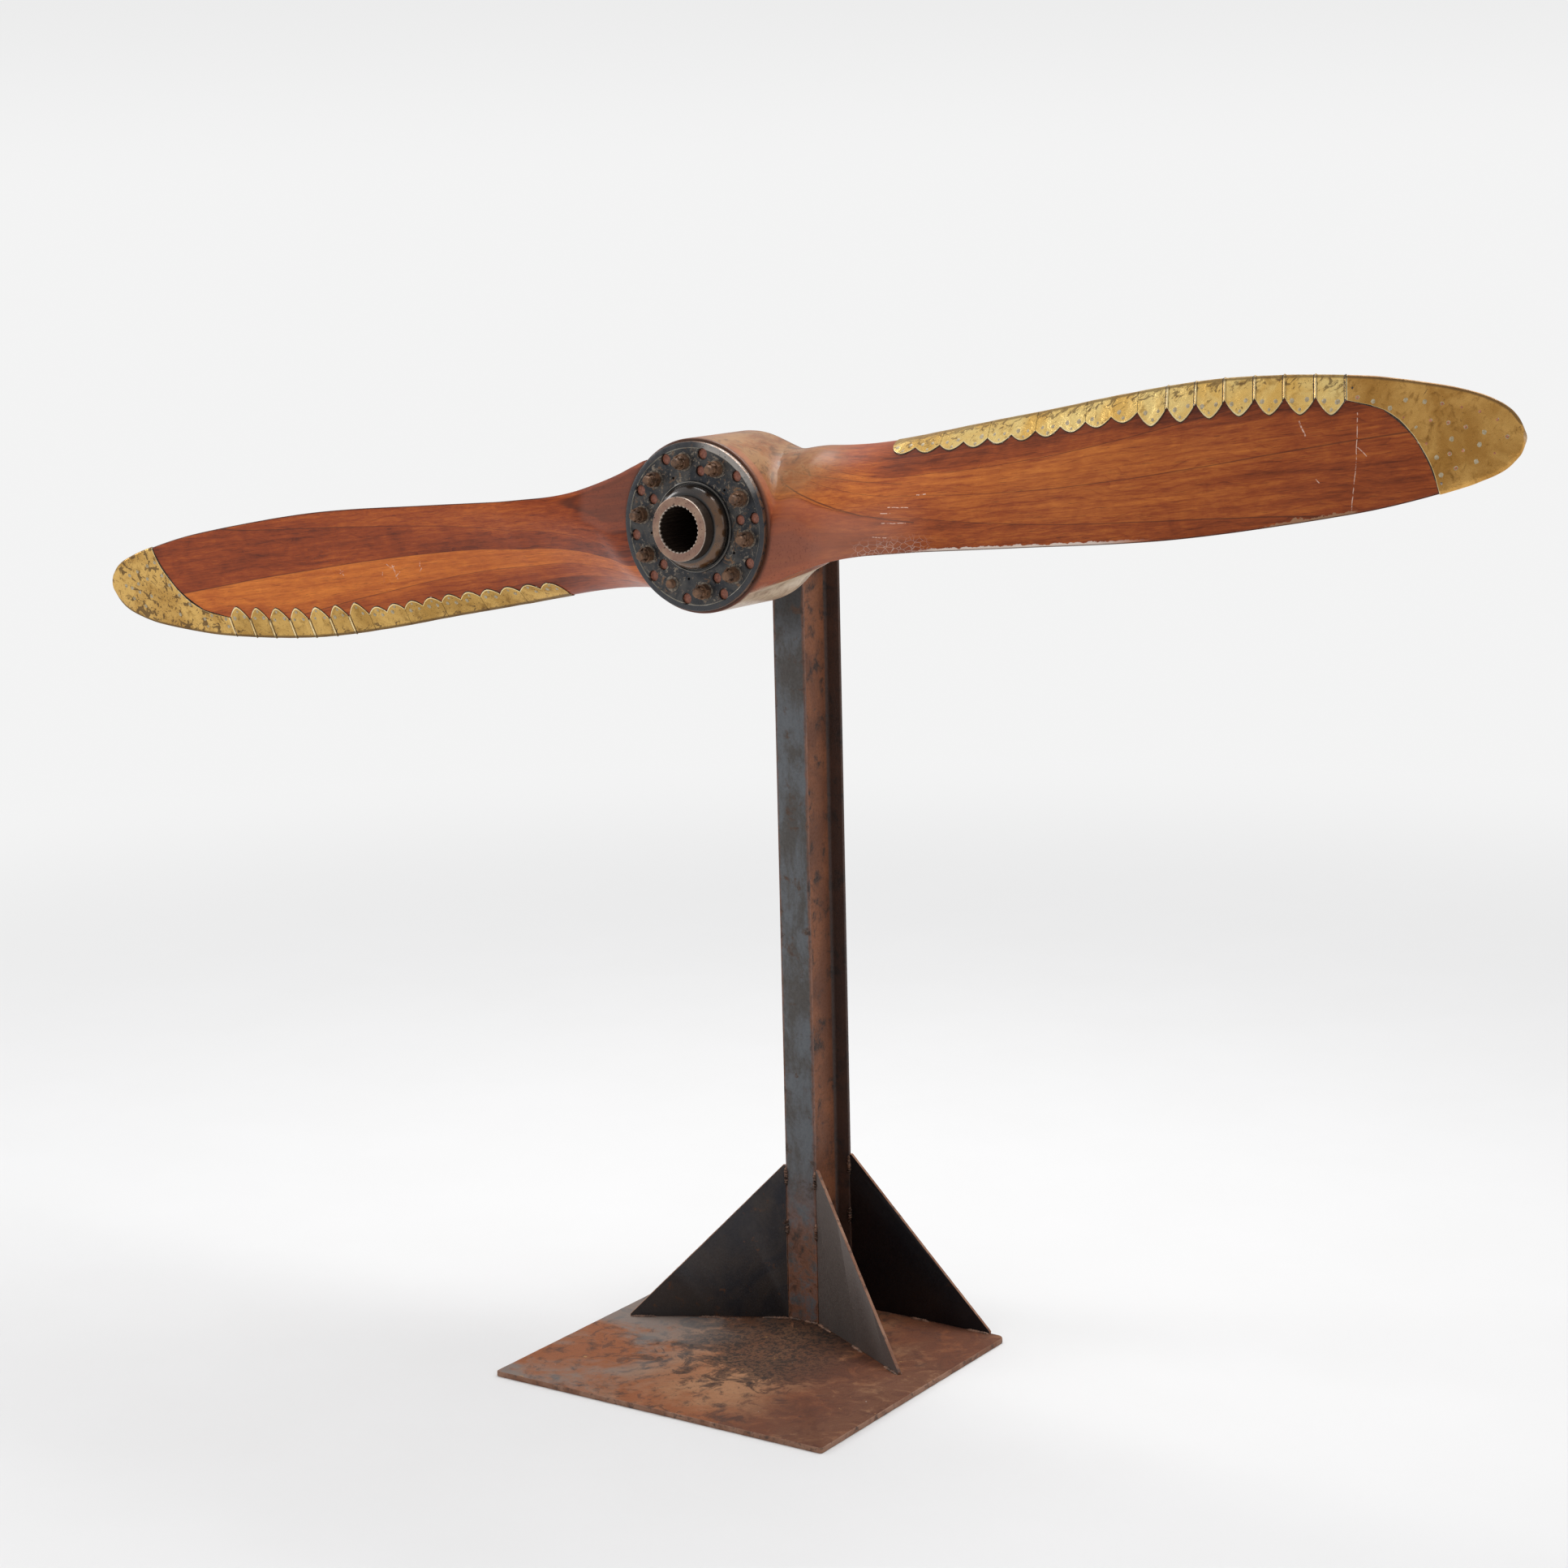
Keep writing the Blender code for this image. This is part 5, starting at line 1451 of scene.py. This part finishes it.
def on_circle(circle, phase, count, k):
    angle = phase - 2 * math.pi * k / count
    return Vector((HUB.x + circle * math.cos(angle), 0, HUB.z + circle * math.sin(angle)))


def drill(spots, radius, steps, chamfer):
    """Rods with a small cone at the mouth, which cut a hole with a bevelled edge."""
    build = bmesh.new()
    wide, mouth = radius + chamfer, FLANGE_FRONT
    profile = [(radius, 0.0), (radius, mouth + chamfer), (wide, mouth), (wide, mouth - 0.01)]
    for spot in spots:
        lathe(build, profile, steps, spot)
    return build


def flange_form():
    """The turned flange. Faces of its collar get the second finish."""
    rim = FLANGE_FRONT - RIM_RISE
    profile = [
        (COLLAR_BORE, FLANGE_REAR), (FLANGE_RADIUS - 0.0006, FLANGE_REAR),
        (FLANGE_RADIUS, FLANGE_REAR - 0.0006), (FLANGE_RADIUS, rim + 0.0014),
        (FLANGE_RADIUS - 0.0005, rim + 0.0005), (FLANGE_RADIUS - 0.0014, rim),
        (RIM_INNER + 0.0006, rim), (RIM_INNER, rim + 0.0004), (RIM_INNER - 0.0002, FLANGE_FRONT),
    ]
    profile += [(radius, FLANGE_FRONT - height) for radius, height in COLLAR_PROFILE]
    build = bmesh.new()
    lathe(build, profile, 180, closed=True)
    for face in build.faces:
        middle = face.calc_center_median()
        reach = math.hypot(middle.x - HUB.x, middle.z - HUB.z)
        if reach < COLLAR_OUTSIDE and middle.y < FLANGE_FRONT - 0.001:
            face.material_index = 1
    return build


def make_flange():
    node, slot, finishes = "front_hub_flange", "oiled_steel", [OILY, COLLAR, PLUG]
    made = piece("drilled_flange", flange_form(), finishes, "propeller", [node], None)
    tools = []
    for count, circle, phase, radius in HOLE_ROWS:
        spots = [on_circle(circle, phase, count, k) for k in range(count)]
        steps = 40 if radius > SMALL_HOLE else 14
        tools.append(drill(spots, radius, steps, min(0.0009, radius * 0.2)))
    bolts = [on_circle(BOLT_CIRCLE, BOLT_PHASE, BOLT_COUNT, k) for k in range(BOLT_COUNT)]
    tools.append(drill(bolts, BOLT_HOLE, 20, 0.0003))
    cut(made, tools)
    build = bmesh.new()
    build.from_mesh(made.data)
    for count, circle, phase, radius in HOLE_ROWS[:2]:
        inner = radius - 0.0003
        profile = [(inner, PLUG_REAR), (inner, PLUG_FRONT + 0.0004), (inner * 0.9, PLUG_FRONT)]
        for k in range(count):
            lathe(build, profile, 24, on_circle(circle, phase, count, k), finish=2)
    bmesh.ops.recalc_face_normals(build, faces=build.faces[:])
    build.to_mesh(made.data)
    build.free()
    smooth_sides(made, 32)


# %% Toothed tube
TOOTH_COUNT, TOOTH_TIP, TOOTH_ROOT = 32, 0.0385, 0.0402
TUBE_NOSE, TUBE_TAIL = -0.1450, 0.1170


def bore_radius(angle, widen):
    """Rounded teeth: flat crests and hollow roots."""
    wave = math.cos(angle * TOOTH_COUNT)
    soft = math.tanh(2.2 * wave) / math.tanh(2.2)
    return (TOOTH_TIP + TOOTH_ROOT) / 2 + (TOOTH_ROOT - TOOTH_TIP) / 2 * soft + widen


def make_tube():
    steps = TOOTH_COUNT * 12
    outside = (
        (TUBE_RADIUS, TUBE_TAIL), (TUBE_RADIUS, -0.05), (TUBE_RADIUS, TUBE_NOSE + 0.0022),
        (TUBE_RADIUS - 0.0006, TUBE_NOSE + 0.0008), (TUBE_RADIUS - 0.0018, TUBE_NOSE),
    )
    bore = ((0.0011, TUBE_NOSE), (0.0003, TUBE_NOSE + 0.0010), (0.0, TUBE_NOSE + 0.0030), (0.0, TUBE_TAIL))
    build = bmesh.new()
    rings = [axis_ring(build, HUB, [radius] * steps, y) for radius, y in outside]
    for widen, y in bore:
        radii = [bore_radius(2 * math.pi * k / steps, widen) for k in range(steps)]
        rings.append(axis_ring(build, HUB, radii, y))
    join_all(build, rings, closed=True)
    piece("toothed_tube", build, [BARE], "propeller", ["hub_barrel"], 30)


# %% Bolts, slotted nuts and their pins
NUT_SEAT, NUT_BODY, NUT_CROWN = -0.0991, 0.0125, 0.0075
NUT_CORNER = 0.024 / 2 / math.cos(math.pi / 6)
BOLT_RADIUS, BOLT_END, BARE_END = 0.0079, -0.1265, -0.1090
THREAD_START, THREAD_PITCH, THREAD_DEPTH = -0.092, 0.0015, 0.0007
HEAD_SEAT, HEAD_TOP = 0.1146, 0.1236
CROWN_INNER, CROWN_RADIUS, HALF_SLOT = BOLT_RADIUS + 0.0003, 0.0112, 0.24
PIN_RADIUS, PIN_GAP = 0.0009, 0.0008


def fastening(name, node, k, build):
    name, node = f"{name}_{k + 1:02d}", f"{node}_{k + 1:02d}"
    piece(name, build, [GREASY, SEAT], "propeller", [node], 34)


def seat_ring(build, spot, inner, outer, bevel, height):
    """A bright ring on the flange, where a nut or a washer sat."""
    low, high = NUT_SEAT + 0.0002, NUT_SEAT - height
    profile = [(inner, low), (outer, low), (outer - bevel, high), (inner, high)]
    lathe(build, profile, 32, spot, closed=True, finish=1)


def make_bolt(k):
    spot = on_circle(BOLT_CIRCLE, BOLT_PHASE, BOLT_COUNT, k)
    end = BARE_END if k == BARE_BOLT else BOLT_END
    y = THREAD_START
    profile = [
        (NUT_CORNER * 0.86, HEAD_TOP), (NUT_CORNER * 0.97, HEAD_TOP - 0.0015),
        (NUT_CORNER, HEAD_TOP - 0.003), (NUT_CORNER, HEAD_SEAT),
        (BOLT_RADIUS, HEAD_SEAT - 0.0001), (BOLT_RADIUS, y),
    ]
    while y > end + 0.003:
        profile += [(BOLT_RADIUS - THREAD_DEPTH, y - 0.0008), (BOLT_RADIUS, y - THREAD_PITCH)]
        y -= THREAD_PITCH
    profile += [(BOLT_RADIUS - 0.0008, end + 0.0009), (BOLT_RADIUS - 0.0018, end), (0.0010, end - 0.0001)]
    build = bmesh.new()
    lathe(build, profile, 24, spot, corners=(1, 2, 3), twist=k * 0.7)
    if k == BARE_BOLT:
        seat_ring(build, spot, 0.0083, 0.0138, 0.0004, 0.0006)
    fastening("threaded_bolt", "hub_bolt", k, build)


def crown_tooth(build, spot, top, start, end):
    """One upright tooth of a nut's slotted crown."""
    rows = (
        (top + 0.0010, CROWN_RADIUS), (top - NUT_CROWN + 0.0010, CROWN_RADIUS - 0.0002),
        (top - NUT_CROWN, CROWN_RADIUS - 0.0010),
    )
    angles = [start + (end - start) * j / 4 for j in range(5)]
    rings = []
    for y, out in rows:
        points = [(out, a) for a in angles] + [(CROWN_INNER, a) for a in reversed(angles)]
        spots = [(spot.x + reach * math.cos(a), y, spot.z + reach * math.sin(a)) for reach, a in points]
        rings.append([build.verts.new(place) for place in spots])
    join_all(build, rings)


def split_pin(build, base, angle, tails):
    """The two legs of a pin through a slot, with their tails bent apart."""
    way = Vector((math.cos(angle), 0, math.sin(angle)))
    cross = Vector((0, -1, 0)).cross(way)
    for sign in (-1, 1):
        bend = tails.uniform(0.002, 0.006)
        middle = base + cross * PIN_GAP * sign
        path = [middle - way * 0.0118, middle + way * 0.0095]
        path.append(path[-1] + way * 0.0022 + cross * sign * 0.0012)
        lean = Vector((0, tails.uniform(-0.002, 0.002), 0))
        path.append(path[-1] + way * 0.0010 + cross * sign * bend + lean)
        tube(build, path, [PIN_RADIUS] * len(path), 6)


def make_nut(k):
    """A hexagon with a bevelled top, six upright teeth and a bent pin through a slot."""
    spot = on_circle(BOLT_CIRCLE, BOLT_PHASE, BOLT_COUNT, k)
    twist = random.Random(40 + k).uniform(0, math.pi / 3)
    top = NUT_SEAT - NUT_BODY
    profile = [
        (CROWN_INNER, NUT_SEAT), (NUT_CORNER * 0.93, NUT_SEAT), (NUT_CORNER, NUT_SEAT - 0.0012),
        (NUT_CORNER, top + 0.0016), (NUT_CORNER * 0.93, top), (CROWN_RADIUS, top - 0.0002),
        (CROWN_INNER, top - 0.0002),
    ]
    build = bmesh.new()
    lathe(build, profile, 36, spot, closed=True, corners=(2, 3), twist=twist)
    seat_ring(build, spot, 0.0120, 0.0163, 0.0003, 0.0002)
    for tooth in range(6):
        start = twist + tooth * math.pi / 3 + HALF_SLOT
        end = twist + (tooth + 1) * math.pi / 3 - HALF_SLOT
        crown_tooth(build, spot, top, start, end)
    base = Vector((spot.x, top - NUT_CROWN * 0.45, spot.z))
    split_pin(build, base, twist + math.pi / 3 * (k % 3), random.Random(90 + k))
    fastening("slotted_nut", "castle_nut", k, build)


make_flange()
make_tube()
for bolt in range(BOLT_COUNT):
    make_bolt(bolt)
    if bolt != BARE_BOLT:
        make_nut(bolt)
print("hub dressed")

# %% [markdown]
# ## The stand
#
# The stand is scrap steel: a rolled I section, four plate gussets and a base plate.
# Mill scale gives the section a dull blue front, and rust covers the rest. The plate
# has flaked rust in several colours. All of the rust comes from layered noises whose
# edges are sharpened, because real rust grows in patches with hard borders. Some light
# and shade is painted in as well: shade on the section's top and back flange, a shadow
# on the plate, and lighter and darker copies of the gusset steel.

# %% Stand finishes
def rust_layers(tree, place, scale, base, light, dark):
    """Rust in three tones, with hard-edged patches and fine pitting, and its noises."""
    wide = cloud(tree, place, scale, 6.0, 0.62, 0.7)
    mid = cloud(tree, place, scale * 4.5, 6.0, 0.68, 0.4)
    fine = cloud(tree, place, scale * 28, 4.0, 0.7)
    patches = (dark, between(tree, mid, 0.50, 0.68))
    pits = (dark, between(tree, fine, 0.50, 0.80), 0.5)
    return layered(tree, mottled(tree, wide, 0.38, 0.62, base, light), patches, pits), (wide, mid, fine)


def plate_rust():
    finish, tree, shader, place = start_finish("flaking_plate_rust")
    tones = (0.26, 0.088, 0.035), (0.34, 0.17, 0.085), (0.060, 0.035, 0.026)
    color, (wide, mid, fine) = rust_layers(tree, place, 5.0, *tones)
    across = axes(tree, place)["X"]
    patch = cloud(tree, place, 19.0, 7.0, 0.72, 0.9)
    # Painted shadow: a ragged dark patch round the middle of the plate, with darker specks in it.
    from_column = reckon(tree, "DISTANCE", place, (0.02, 0.06, 0.0))
    ragged = swayed(tree, between(tree, from_column, 0.36, 0.02), patch, 2.4)
    shadow_patch = between(tree, ragged, 0.42, 0.60)
    shadow_specks = both(tree, shadow_patch, between(tree, fine, 0.46, 0.56), between(tree, ragged, 0.50, 0.80))
    right = both(tree, between(tree, across, 0.06, 0.22), between(tree, patch, 0.36, 0.50, 0.45, 0.85))
    left = both(tree, between(tree, across, -0.02, -0.24), between(tree, wide, 0.40, 0.56))
    color = layered(
        tree, color,
        ((0.085, 0.042, 0.028), between(tree, patch, 0.555, 0.585), 0.65),
        ((0.085, 0.042, 0.024), shadow_patch, 0.8),
        ((0.022, 0.015, 0.012), shadow_specks, 0.85),
        ((0.105, 0.036, 0.019), right),
        ((0.16, 0.155, 0.150), left, 0.75),
        ((0.42, 0.22, 0.08), between(tree, cloud(tree, place, 34.0, 5.0, 0.7), 0.66, 0.74)),
        ((0.55, 0.50, 0.44), between(tree, cloud(tree, place, 95.0, 3.0, 0.6), 0.735, 0.76)),
    )
    feed(tree, shader, {"Base Color": color, "Roughness": 0.82, "Specular IOR Level": 0.3})
    emboss(tree, shader, calc(tree, "MULTIPLY_ADD", mid, 1.2, fine), 0.0018, 0.7)
    return finish


def rolled_section():
    finish, tree, shader, place = start_finish("rolled_section_steel")
    tones = (0.135, 0.048, 0.022), (0.230, 0.082, 0.034), (0.034, 0.020, 0.015)
    color, noises = rust_layers(tree, place, 7.0, *tones)
    mid, fine = noises[1:]
    parts = axes(tree, place)
    streak = cloud(tree, stretched(tree, place, (20.0, 20.0, 9.0)), 1.0, 7.0, 0.72, 0.3)
    scale = mottled(tree, streak, 0.40, 0.62, (0.140, 0.150, 0.162), (0.094, 0.086, 0.080))
    # Painted shade: the mill scale darkens towards the top of the column, behind the propeller.
    scale = tint(tree, scale, (0.045, 0.040, 0.036), between(tree, parts["Z"], 1.27, 1.36), 0.75)
    scale = tint(tree, scale, (0.10, 0.060, 0.042), between(tree, mid, 0.56, 0.70))
    front = between(tree, parts["Y"], COLUMN_FRONT + 0.0045, COLUMN_FRONT + 0.0025)
    from_middle = calc(tree, "ABSOLUTE", calc(tree, "SUBTRACT", parts["X"], COLUMN_X))
    edge = between(tree, calc(tree, "MULTIPLY_ADD", mid, 0.016, from_middle), 0.034, 0.041, 1.0, 0.2)
    low = both(tree, between(tree, parts["Z"], 0.34, 0.12), between(tree, mid, 0.35, 0.6))
    front = both(tree, front, edge, calc(tree, "SUBTRACT", 1.0, low))
    color = blend(tree, front, color, scale)
    # Painted shade: the inner face of the back flange is darkened nearly to black.
    back = between(tree, parts["Y"], COLUMN_BACK - 0.0130, COLUMN_BACK - 0.0085)
    color = tint(tree, color, (0.022, 0.015, 0.013), back, 0.8)
    rough = between(tree, fine, 0.3, 0.75, 0.46, 0.74)
    metallic = calc(tree, "MULTIPLY", front, 0.55)
    feed(tree, shader, {"Base Color": color, "Metallic": metallic, "Roughness": rough})
    emboss(tree, shader, calc(tree, "MULTIPLY_ADD", mid, 0.8, fine), 0.0009, 0.5)
    return finish


def gusset_scale():
    finish, tree, shader, place = start_finish("gusset_mill_scale")
    wide = cloud(tree, place, 8.0, 5.0, 0.6, 0.6)
    mid = cloud(tree, place, 40.0, 6.0, 0.68)
    fine = cloud(tree, place, 240.0, 4.0, 0.7)
    parts = axes(tree, place)
    # Painted light and shade: the front right gusset is made lighter, as lit, and the rear right one nearly
    # black, as shaded.
    right = between(tree, parts["X"], 0.0, 0.02)
    front = both(tree, right, between(tree, parts["Y"], COLUMN_FRONT + 0.020, COLUMN_FRONT + 0.010))
    back = both(tree, right, between(tree, parts["Y"], COLUMN_BACK - 0.020, COLUMN_BACK - 0.012))
    color = mottled(tree, wide, 0.38, 0.66, (0.030, 0.031, 0.038), (0.062, 0.052, 0.048))
    color = layered(
        tree, color,
        ((0.13, 0.062, 0.034), between(tree, mid, 0.60, 0.72)),
        ((0.190, 0.158, 0.142), front, 0.75),
        ((0.010, 0.008, 0.010), back, 0.75),
    )
    rough = between(tree, fine, 0.3, 0.75, 0.40, 0.66)
    feed(tree, shader, {"Base Color": color, "Metallic": 0.5, "Roughness": rough})
    emboss(tree, shader, calc(tree, "MULTIPLY_ADD", mid, 0.8, fine), 0.0008, 0.5)
    return finish


def cut_edge():
    """Rusty edge of a plate, lighter than its faces."""
    finish, tree, shader, place = start_finish("rusty_cut_edge")
    tones = (0.20, 0.085, 0.045), (0.30, 0.16, 0.10), (0.075, 0.040, 0.028)
    color, noises = rust_layers(tree, place, 16.0, *tones)
    feed(tree, shader, {"Base Color": color, "Roughness": 0.75})
    emboss(tree, shader, noises[1], 0.0010, 0.6)
    return finish


def weld_metal():
    finish, tree, shader, place = start_finish("weld_metal")
    wide = cloud(tree, place, 60.0, 5.0, 0.65)
    color = mottled(tree, wide, 0.35, 0.68, (0.075, 0.045, 0.032), (0.32, 0.17, 0.11))
    rough = between(tree, wide, 0.3, 0.7, 0.35, 0.62)
    feed(tree, shader, {"Base Color": color, "Metallic": 0.3, "Roughness": rough})
    emboss(tree, shader, wide, 0.0008, 0.6)
    return finish


PLATE_WIDTH, PLATE_DEPTH, PLATE_THICKNESS = 0.700, 0.614, 0.010
PLATE_CORNER, PLATE_CUT_CORNER = 0.005, 0.014
COLUMN_X, COLUMN_BREADTH, COLUMN_DEPTH, COLUMN_TOP = -0.0125, 0.065, 0.122, 1.590
COLUMN_FRONT = PLATE_DEPTH / 2 - COLUMN_DEPTH
COLUMN_BACK = PLATE_DEPTH / 2
PLATE_RUST, SECTION_STEEL, GUSSET_STEEL = plate_rust(), rolled_section(), gusset_scale()
CUT_EDGE, WELD = cut_edge(), weld_metal()

# %% [markdown]
# The plate, the section and the gussets are simple shapes, and what makes them real is
# their edges: sheared, rolled or torch-cut, never sharp. Each outline gets small round
# corners or a bevel, and the cut edges wander by a few tenths of a millimetre.

# %% Plate, section and gussets
FLANGE_THICKNESS, WEB_THICKNESS = 0.0063, 0.0046
ROOT, TOE, NOSE = 0.007, 0.0018, 0.001
PLATE_STEP, GUSSET_STEP = 0.006, 0.008
PLATE_ROWS = (
    (0.0010, 0.0), (0.0002, 0.0008), (0.0, 0.0022),
    (0.0, 0.0078), (0.0004, 0.0092), (0.0014, 0.0100),
)
GUSSET_ROWS = (
    (0.0012, -0.5), (0.0003, -0.42), (0.0, -0.2),
    (0.0, 0.2), (0.0003, 0.42), (0.0012, 0.5),
)


def arc(centre, radius, start, end, steps):
    points = []
    for k in range(steps + 1):
        a = math.radians(start + (end - start) * k / steps)
        points.append((centre[0] + radius * math.cos(a), centre[1] + radius * math.sin(a)))
    return points


def finely(outline, step):
    """The closed outline with more points along its straight sides."""
    points = []
    for (a, b), (c, d) in zip(outline, outline[1:] + outline[:1]):
        parts = max(1, int(math.hypot(c - a, d - b) / step))
        points += [(a + (c - a) * j / parts, b + (d - b) * j / parts) for j in range(parts)]
    return points


def make_plate():
    """Stacked outlines round the plate's edge, which wanders a little like a torch cut."""
    half_x, half_y = PLATE_WIDTH / 2, PLATE_DEPTH / 2
    outline = []
    for start, sx, sy in ((0, 1, 1), (90, -1, 1), (180, -1, -1), (270, 1, -1)):
        radius = PLATE_CUT_CORNER if start == 0 else PLATE_CORNER
        outline += arc((sx * (half_x - radius), sy * (half_y - radius)), radius, start, start + 90, 6)
    fine = finely(outline, PLATE_STEP)
    build = bmesh.new()
    rings = []
    for inset, z in PLATE_ROWS:
        ring = []
        for x, y in fine:
            wander = 0.0006 + 0.0006 * noise.noise(Vector((x * 60, y * 60, z * 140)))
            move = (inset + wander) / math.hypot(x, y)
            ring.append(build.verts.new((x * (1 - move), y * (1 - move), z)))
        rings.append(ring)
    join_all(build, rings, 1, 0)
    piece("rusted_plate", build, [PLATE_RUST, CUT_EDGE], "stand", ["base_plate"], 40)


def section_outline():
    hb, hw = COLUMN_BREADTH / 2, WEB_THICKNESS / 2
    low, high = COLUMN_FRONT + FLANGE_THICKNESS, COLUMN_BACK - FLANGE_THICKNESS
    corners = (
        (-hb + NOSE, COLUMN_FRONT + NOSE, NOSE, 180, 270, 3),
        (hb - NOSE, COLUMN_FRONT + NOSE, NOSE, 270, 360, 3),
        (hb - TOE, low - TOE, TOE, 0, 90, 4), (hw + ROOT, low + ROOT, ROOT, 270, 180, 6),
        (hw + ROOT, high - ROOT, ROOT, 180, 90, 6), (hb - TOE, high + TOE, TOE, 270, 360, 4),
        (hb - NOSE, COLUMN_BACK - NOSE, NOSE, 0, 90, 3), (-hb + NOSE, COLUMN_BACK - NOSE, NOSE, 90, 180, 3),
        (-hb + TOE, high + TOE, TOE, 180, 270, 4), (-hw - ROOT, high - ROOT, ROOT, 90, 0, 6),
        (-hw - ROOT, low + ROOT, ROOT, 0, -90, 6), (-hb + TOE, low - TOE, TOE, 90, 180, 4),
    )
    points = []
    for x, y, radius, start, end, steps in corners:
        points += arc((x, y), radius, start, end, steps)
    return [(x + COLUMN_X, y) for x, y in points]


def make_section():
    build = bmesh.new()
    rings = []
    for z in (PLATE_THICKNESS + 0.0003, COLUMN_TOP):
        rings.append([build.verts.new((x, y, z)) for x, y in section_outline()])
    join_all(build, rings)
    piece("rolled_section", build, [SECTION_STEEL], "stand", ["column"], 35)


GUSSET_HEIGHT, GUSSET_LENGTH, GUSSET_THICKNESS = 0.298, 0.300, 0.006
GUSSET_SPLAY = math.radians(28.5)
GUSSETS = {
    "front_left": (-1, GUSSET_SPLAY, COLUMN_FRONT + FLANGE_THICKNESS / 2),
    "front_right": (1, GUSSET_SPLAY, COLUMN_FRONT + FLANGE_THICKNESS / 2),
    "rear_left": (-1, 0.0, COLUMN_BACK - GUSSET_THICKNESS / 2),
    "rear_right": (1, 0.0, COLUMN_BACK - GUSSET_THICKNESS / 2),
}


def gusset_frame(name):
    """Where a gusset starts on the section, and its directions along and across."""
    sign, direction, y = GUSSETS[name]
    along = Vector((sign * math.cos(direction), -math.sin(direction), 0))
    across = Vector((-along.y, along.x, 0))
    clear = 0.0003 + GUSSET_THICKNESS / 2 * abs(across.x)
    return Vector((COLUMN_X + sign * (COLUMN_BREADTH / 2 + clear), y, 0)), along, across


def make_gusset(name):
    start, along, across = gusset_frame(name)
    low = PLATE_THICKNESS + 0.0003
    high = low + GUSSET_HEIGHT
    corners = [(0.0, low), (GUSSET_LENGTH, low), (GUSSET_LENGTH, low + 0.004), (0.004, high), (0.0, high)]
    outline = finely(corners, GUSSET_STEP)
    centre = (0.10, low + 0.10)
    build = bmesh.new()
    rings = []
    for inset, shift in GUSSET_ROWS:
        ring = []
        for reach, z in outline:
            size = math.hypot(reach - centre[0], z - centre[1])
            wander = 0.0005 + 0.0005 * noise.noise(Vector((reach * 70, z * 70, shift * 2 + len(name))))
            move = (inset + wander) / size
            inner, up = reach + (centre[0] - reach) * move, z + (centre[1] - z) * move
            spot = start + along * max(inner, 0.0) + across * shift * GUSSET_THICKNESS
            ring.append(build.verts.new((spot.x, spot.y, max(up, low))))
        rings.append(ring)
    join_all(build, rings, 1, 0)
    finishes, node = [GUSSET_STEEL, CUT_EDGE], f"gusset_{name}"
    piece(f"plate_gusset_{name}", build, finishes, "stand", [node], 40)


make_plate()
make_section()
for gusset_name in GUSSETS:
    make_gusset(gusset_name)

# %% [markdown]
# ## Welds
#
# The plates are tacked with short, lumpy weld beads. A bead is a row of overlapping
# ripples, so it is built as a rod whose thickness swells and shrinks along its path.

# %% Weld beads
GUSSET_WELDS = ((0.268, 0.304), (0.172, 0.204))
PLATE_WELDS = ((0.0, 0.05), (0.13, 0.17), (0.25, 0.298))
FIRST_SEED = 7


def bead(build, start, end, radius, seed):
    """A lumpy bead between two points."""
    luck = random.Random(seed)
    length = (end - start).length
    count = max(6, int(length / 0.0016))
    path, sizes = [], []
    for k in range(count + 1):
        t = k / count
        wave = 0.5 + 0.5 * math.cos(2 * math.pi * t * length / 0.0055)
        taper = min(1.0, 4 * t + 0.35, 4 * (1 - t) + 0.35)
        jitter = Vector((luck.uniform(-1, 1), luck.uniform(-1, 1), luck.uniform(-1, 1))) * radius * 0.10
        path.append(start.lerp(end, t) + jitter)
        sizes.append(radius * taper * (0.80 + 0.25 * wave + luck.uniform(-0.06, 0.06)))
    tube(build, path, sizes, 10)


def make_welds():
    """Beads on both sides of each gusset, and two along the section's front."""
    runs = []
    for name in GUSSETS:
        start, along, across = gusset_frame(name)
        for side in (-1, 1):
            off = across * side * (GUSSET_THICKNESS / 2 + 0.001)
            foot = start + off - along * 0.0005
            for low, high in GUSSET_WELDS:
                runs.append((foot + Vector((0, 0, low)), foot + Vector((0, 0, high)), 0.0042))
            for span in PLATE_WELDS:
                ends = [start + off + along * reach + Vector((0, 0, PLATE_THICKNESS)) for reach in span]
                runs.append((*ends, 0.0036))
    half = COLUMN_BREADTH / 2
    y, z = COLUMN_FRONT - 0.0008, PLATE_THICKNESS + 0.001
    for span in ((-half, -half * 0.2), (half * 0.1, half)):
        runs.append((*[Vector((COLUMN_X + x, y, z)) for x in span], 0.0038))
    build = bmesh.new()
    for seed, run in enumerate(runs, FIRST_SEED):
        bead(build, *run, seed)
    piece("weld_beads", build, [WELD], "stand", (), 60)


make_welds()

# %% [markdown]
# ## Solids that stay as they are
#
# The rear flange, the stub shaft and the head plate hide behind the boss. Their solids
# already have the right shape, so they keep it and only get a better finish.

# %% Finishes on the kept solids
for node_name, finish in (("rear_hub_flange", OILY), ("spindle", OILY), ("head_plate", GUSSET_STEEL)):
    for slot_here in frame["nodes"][node_name].material_slots:
        slot_here.material = finish
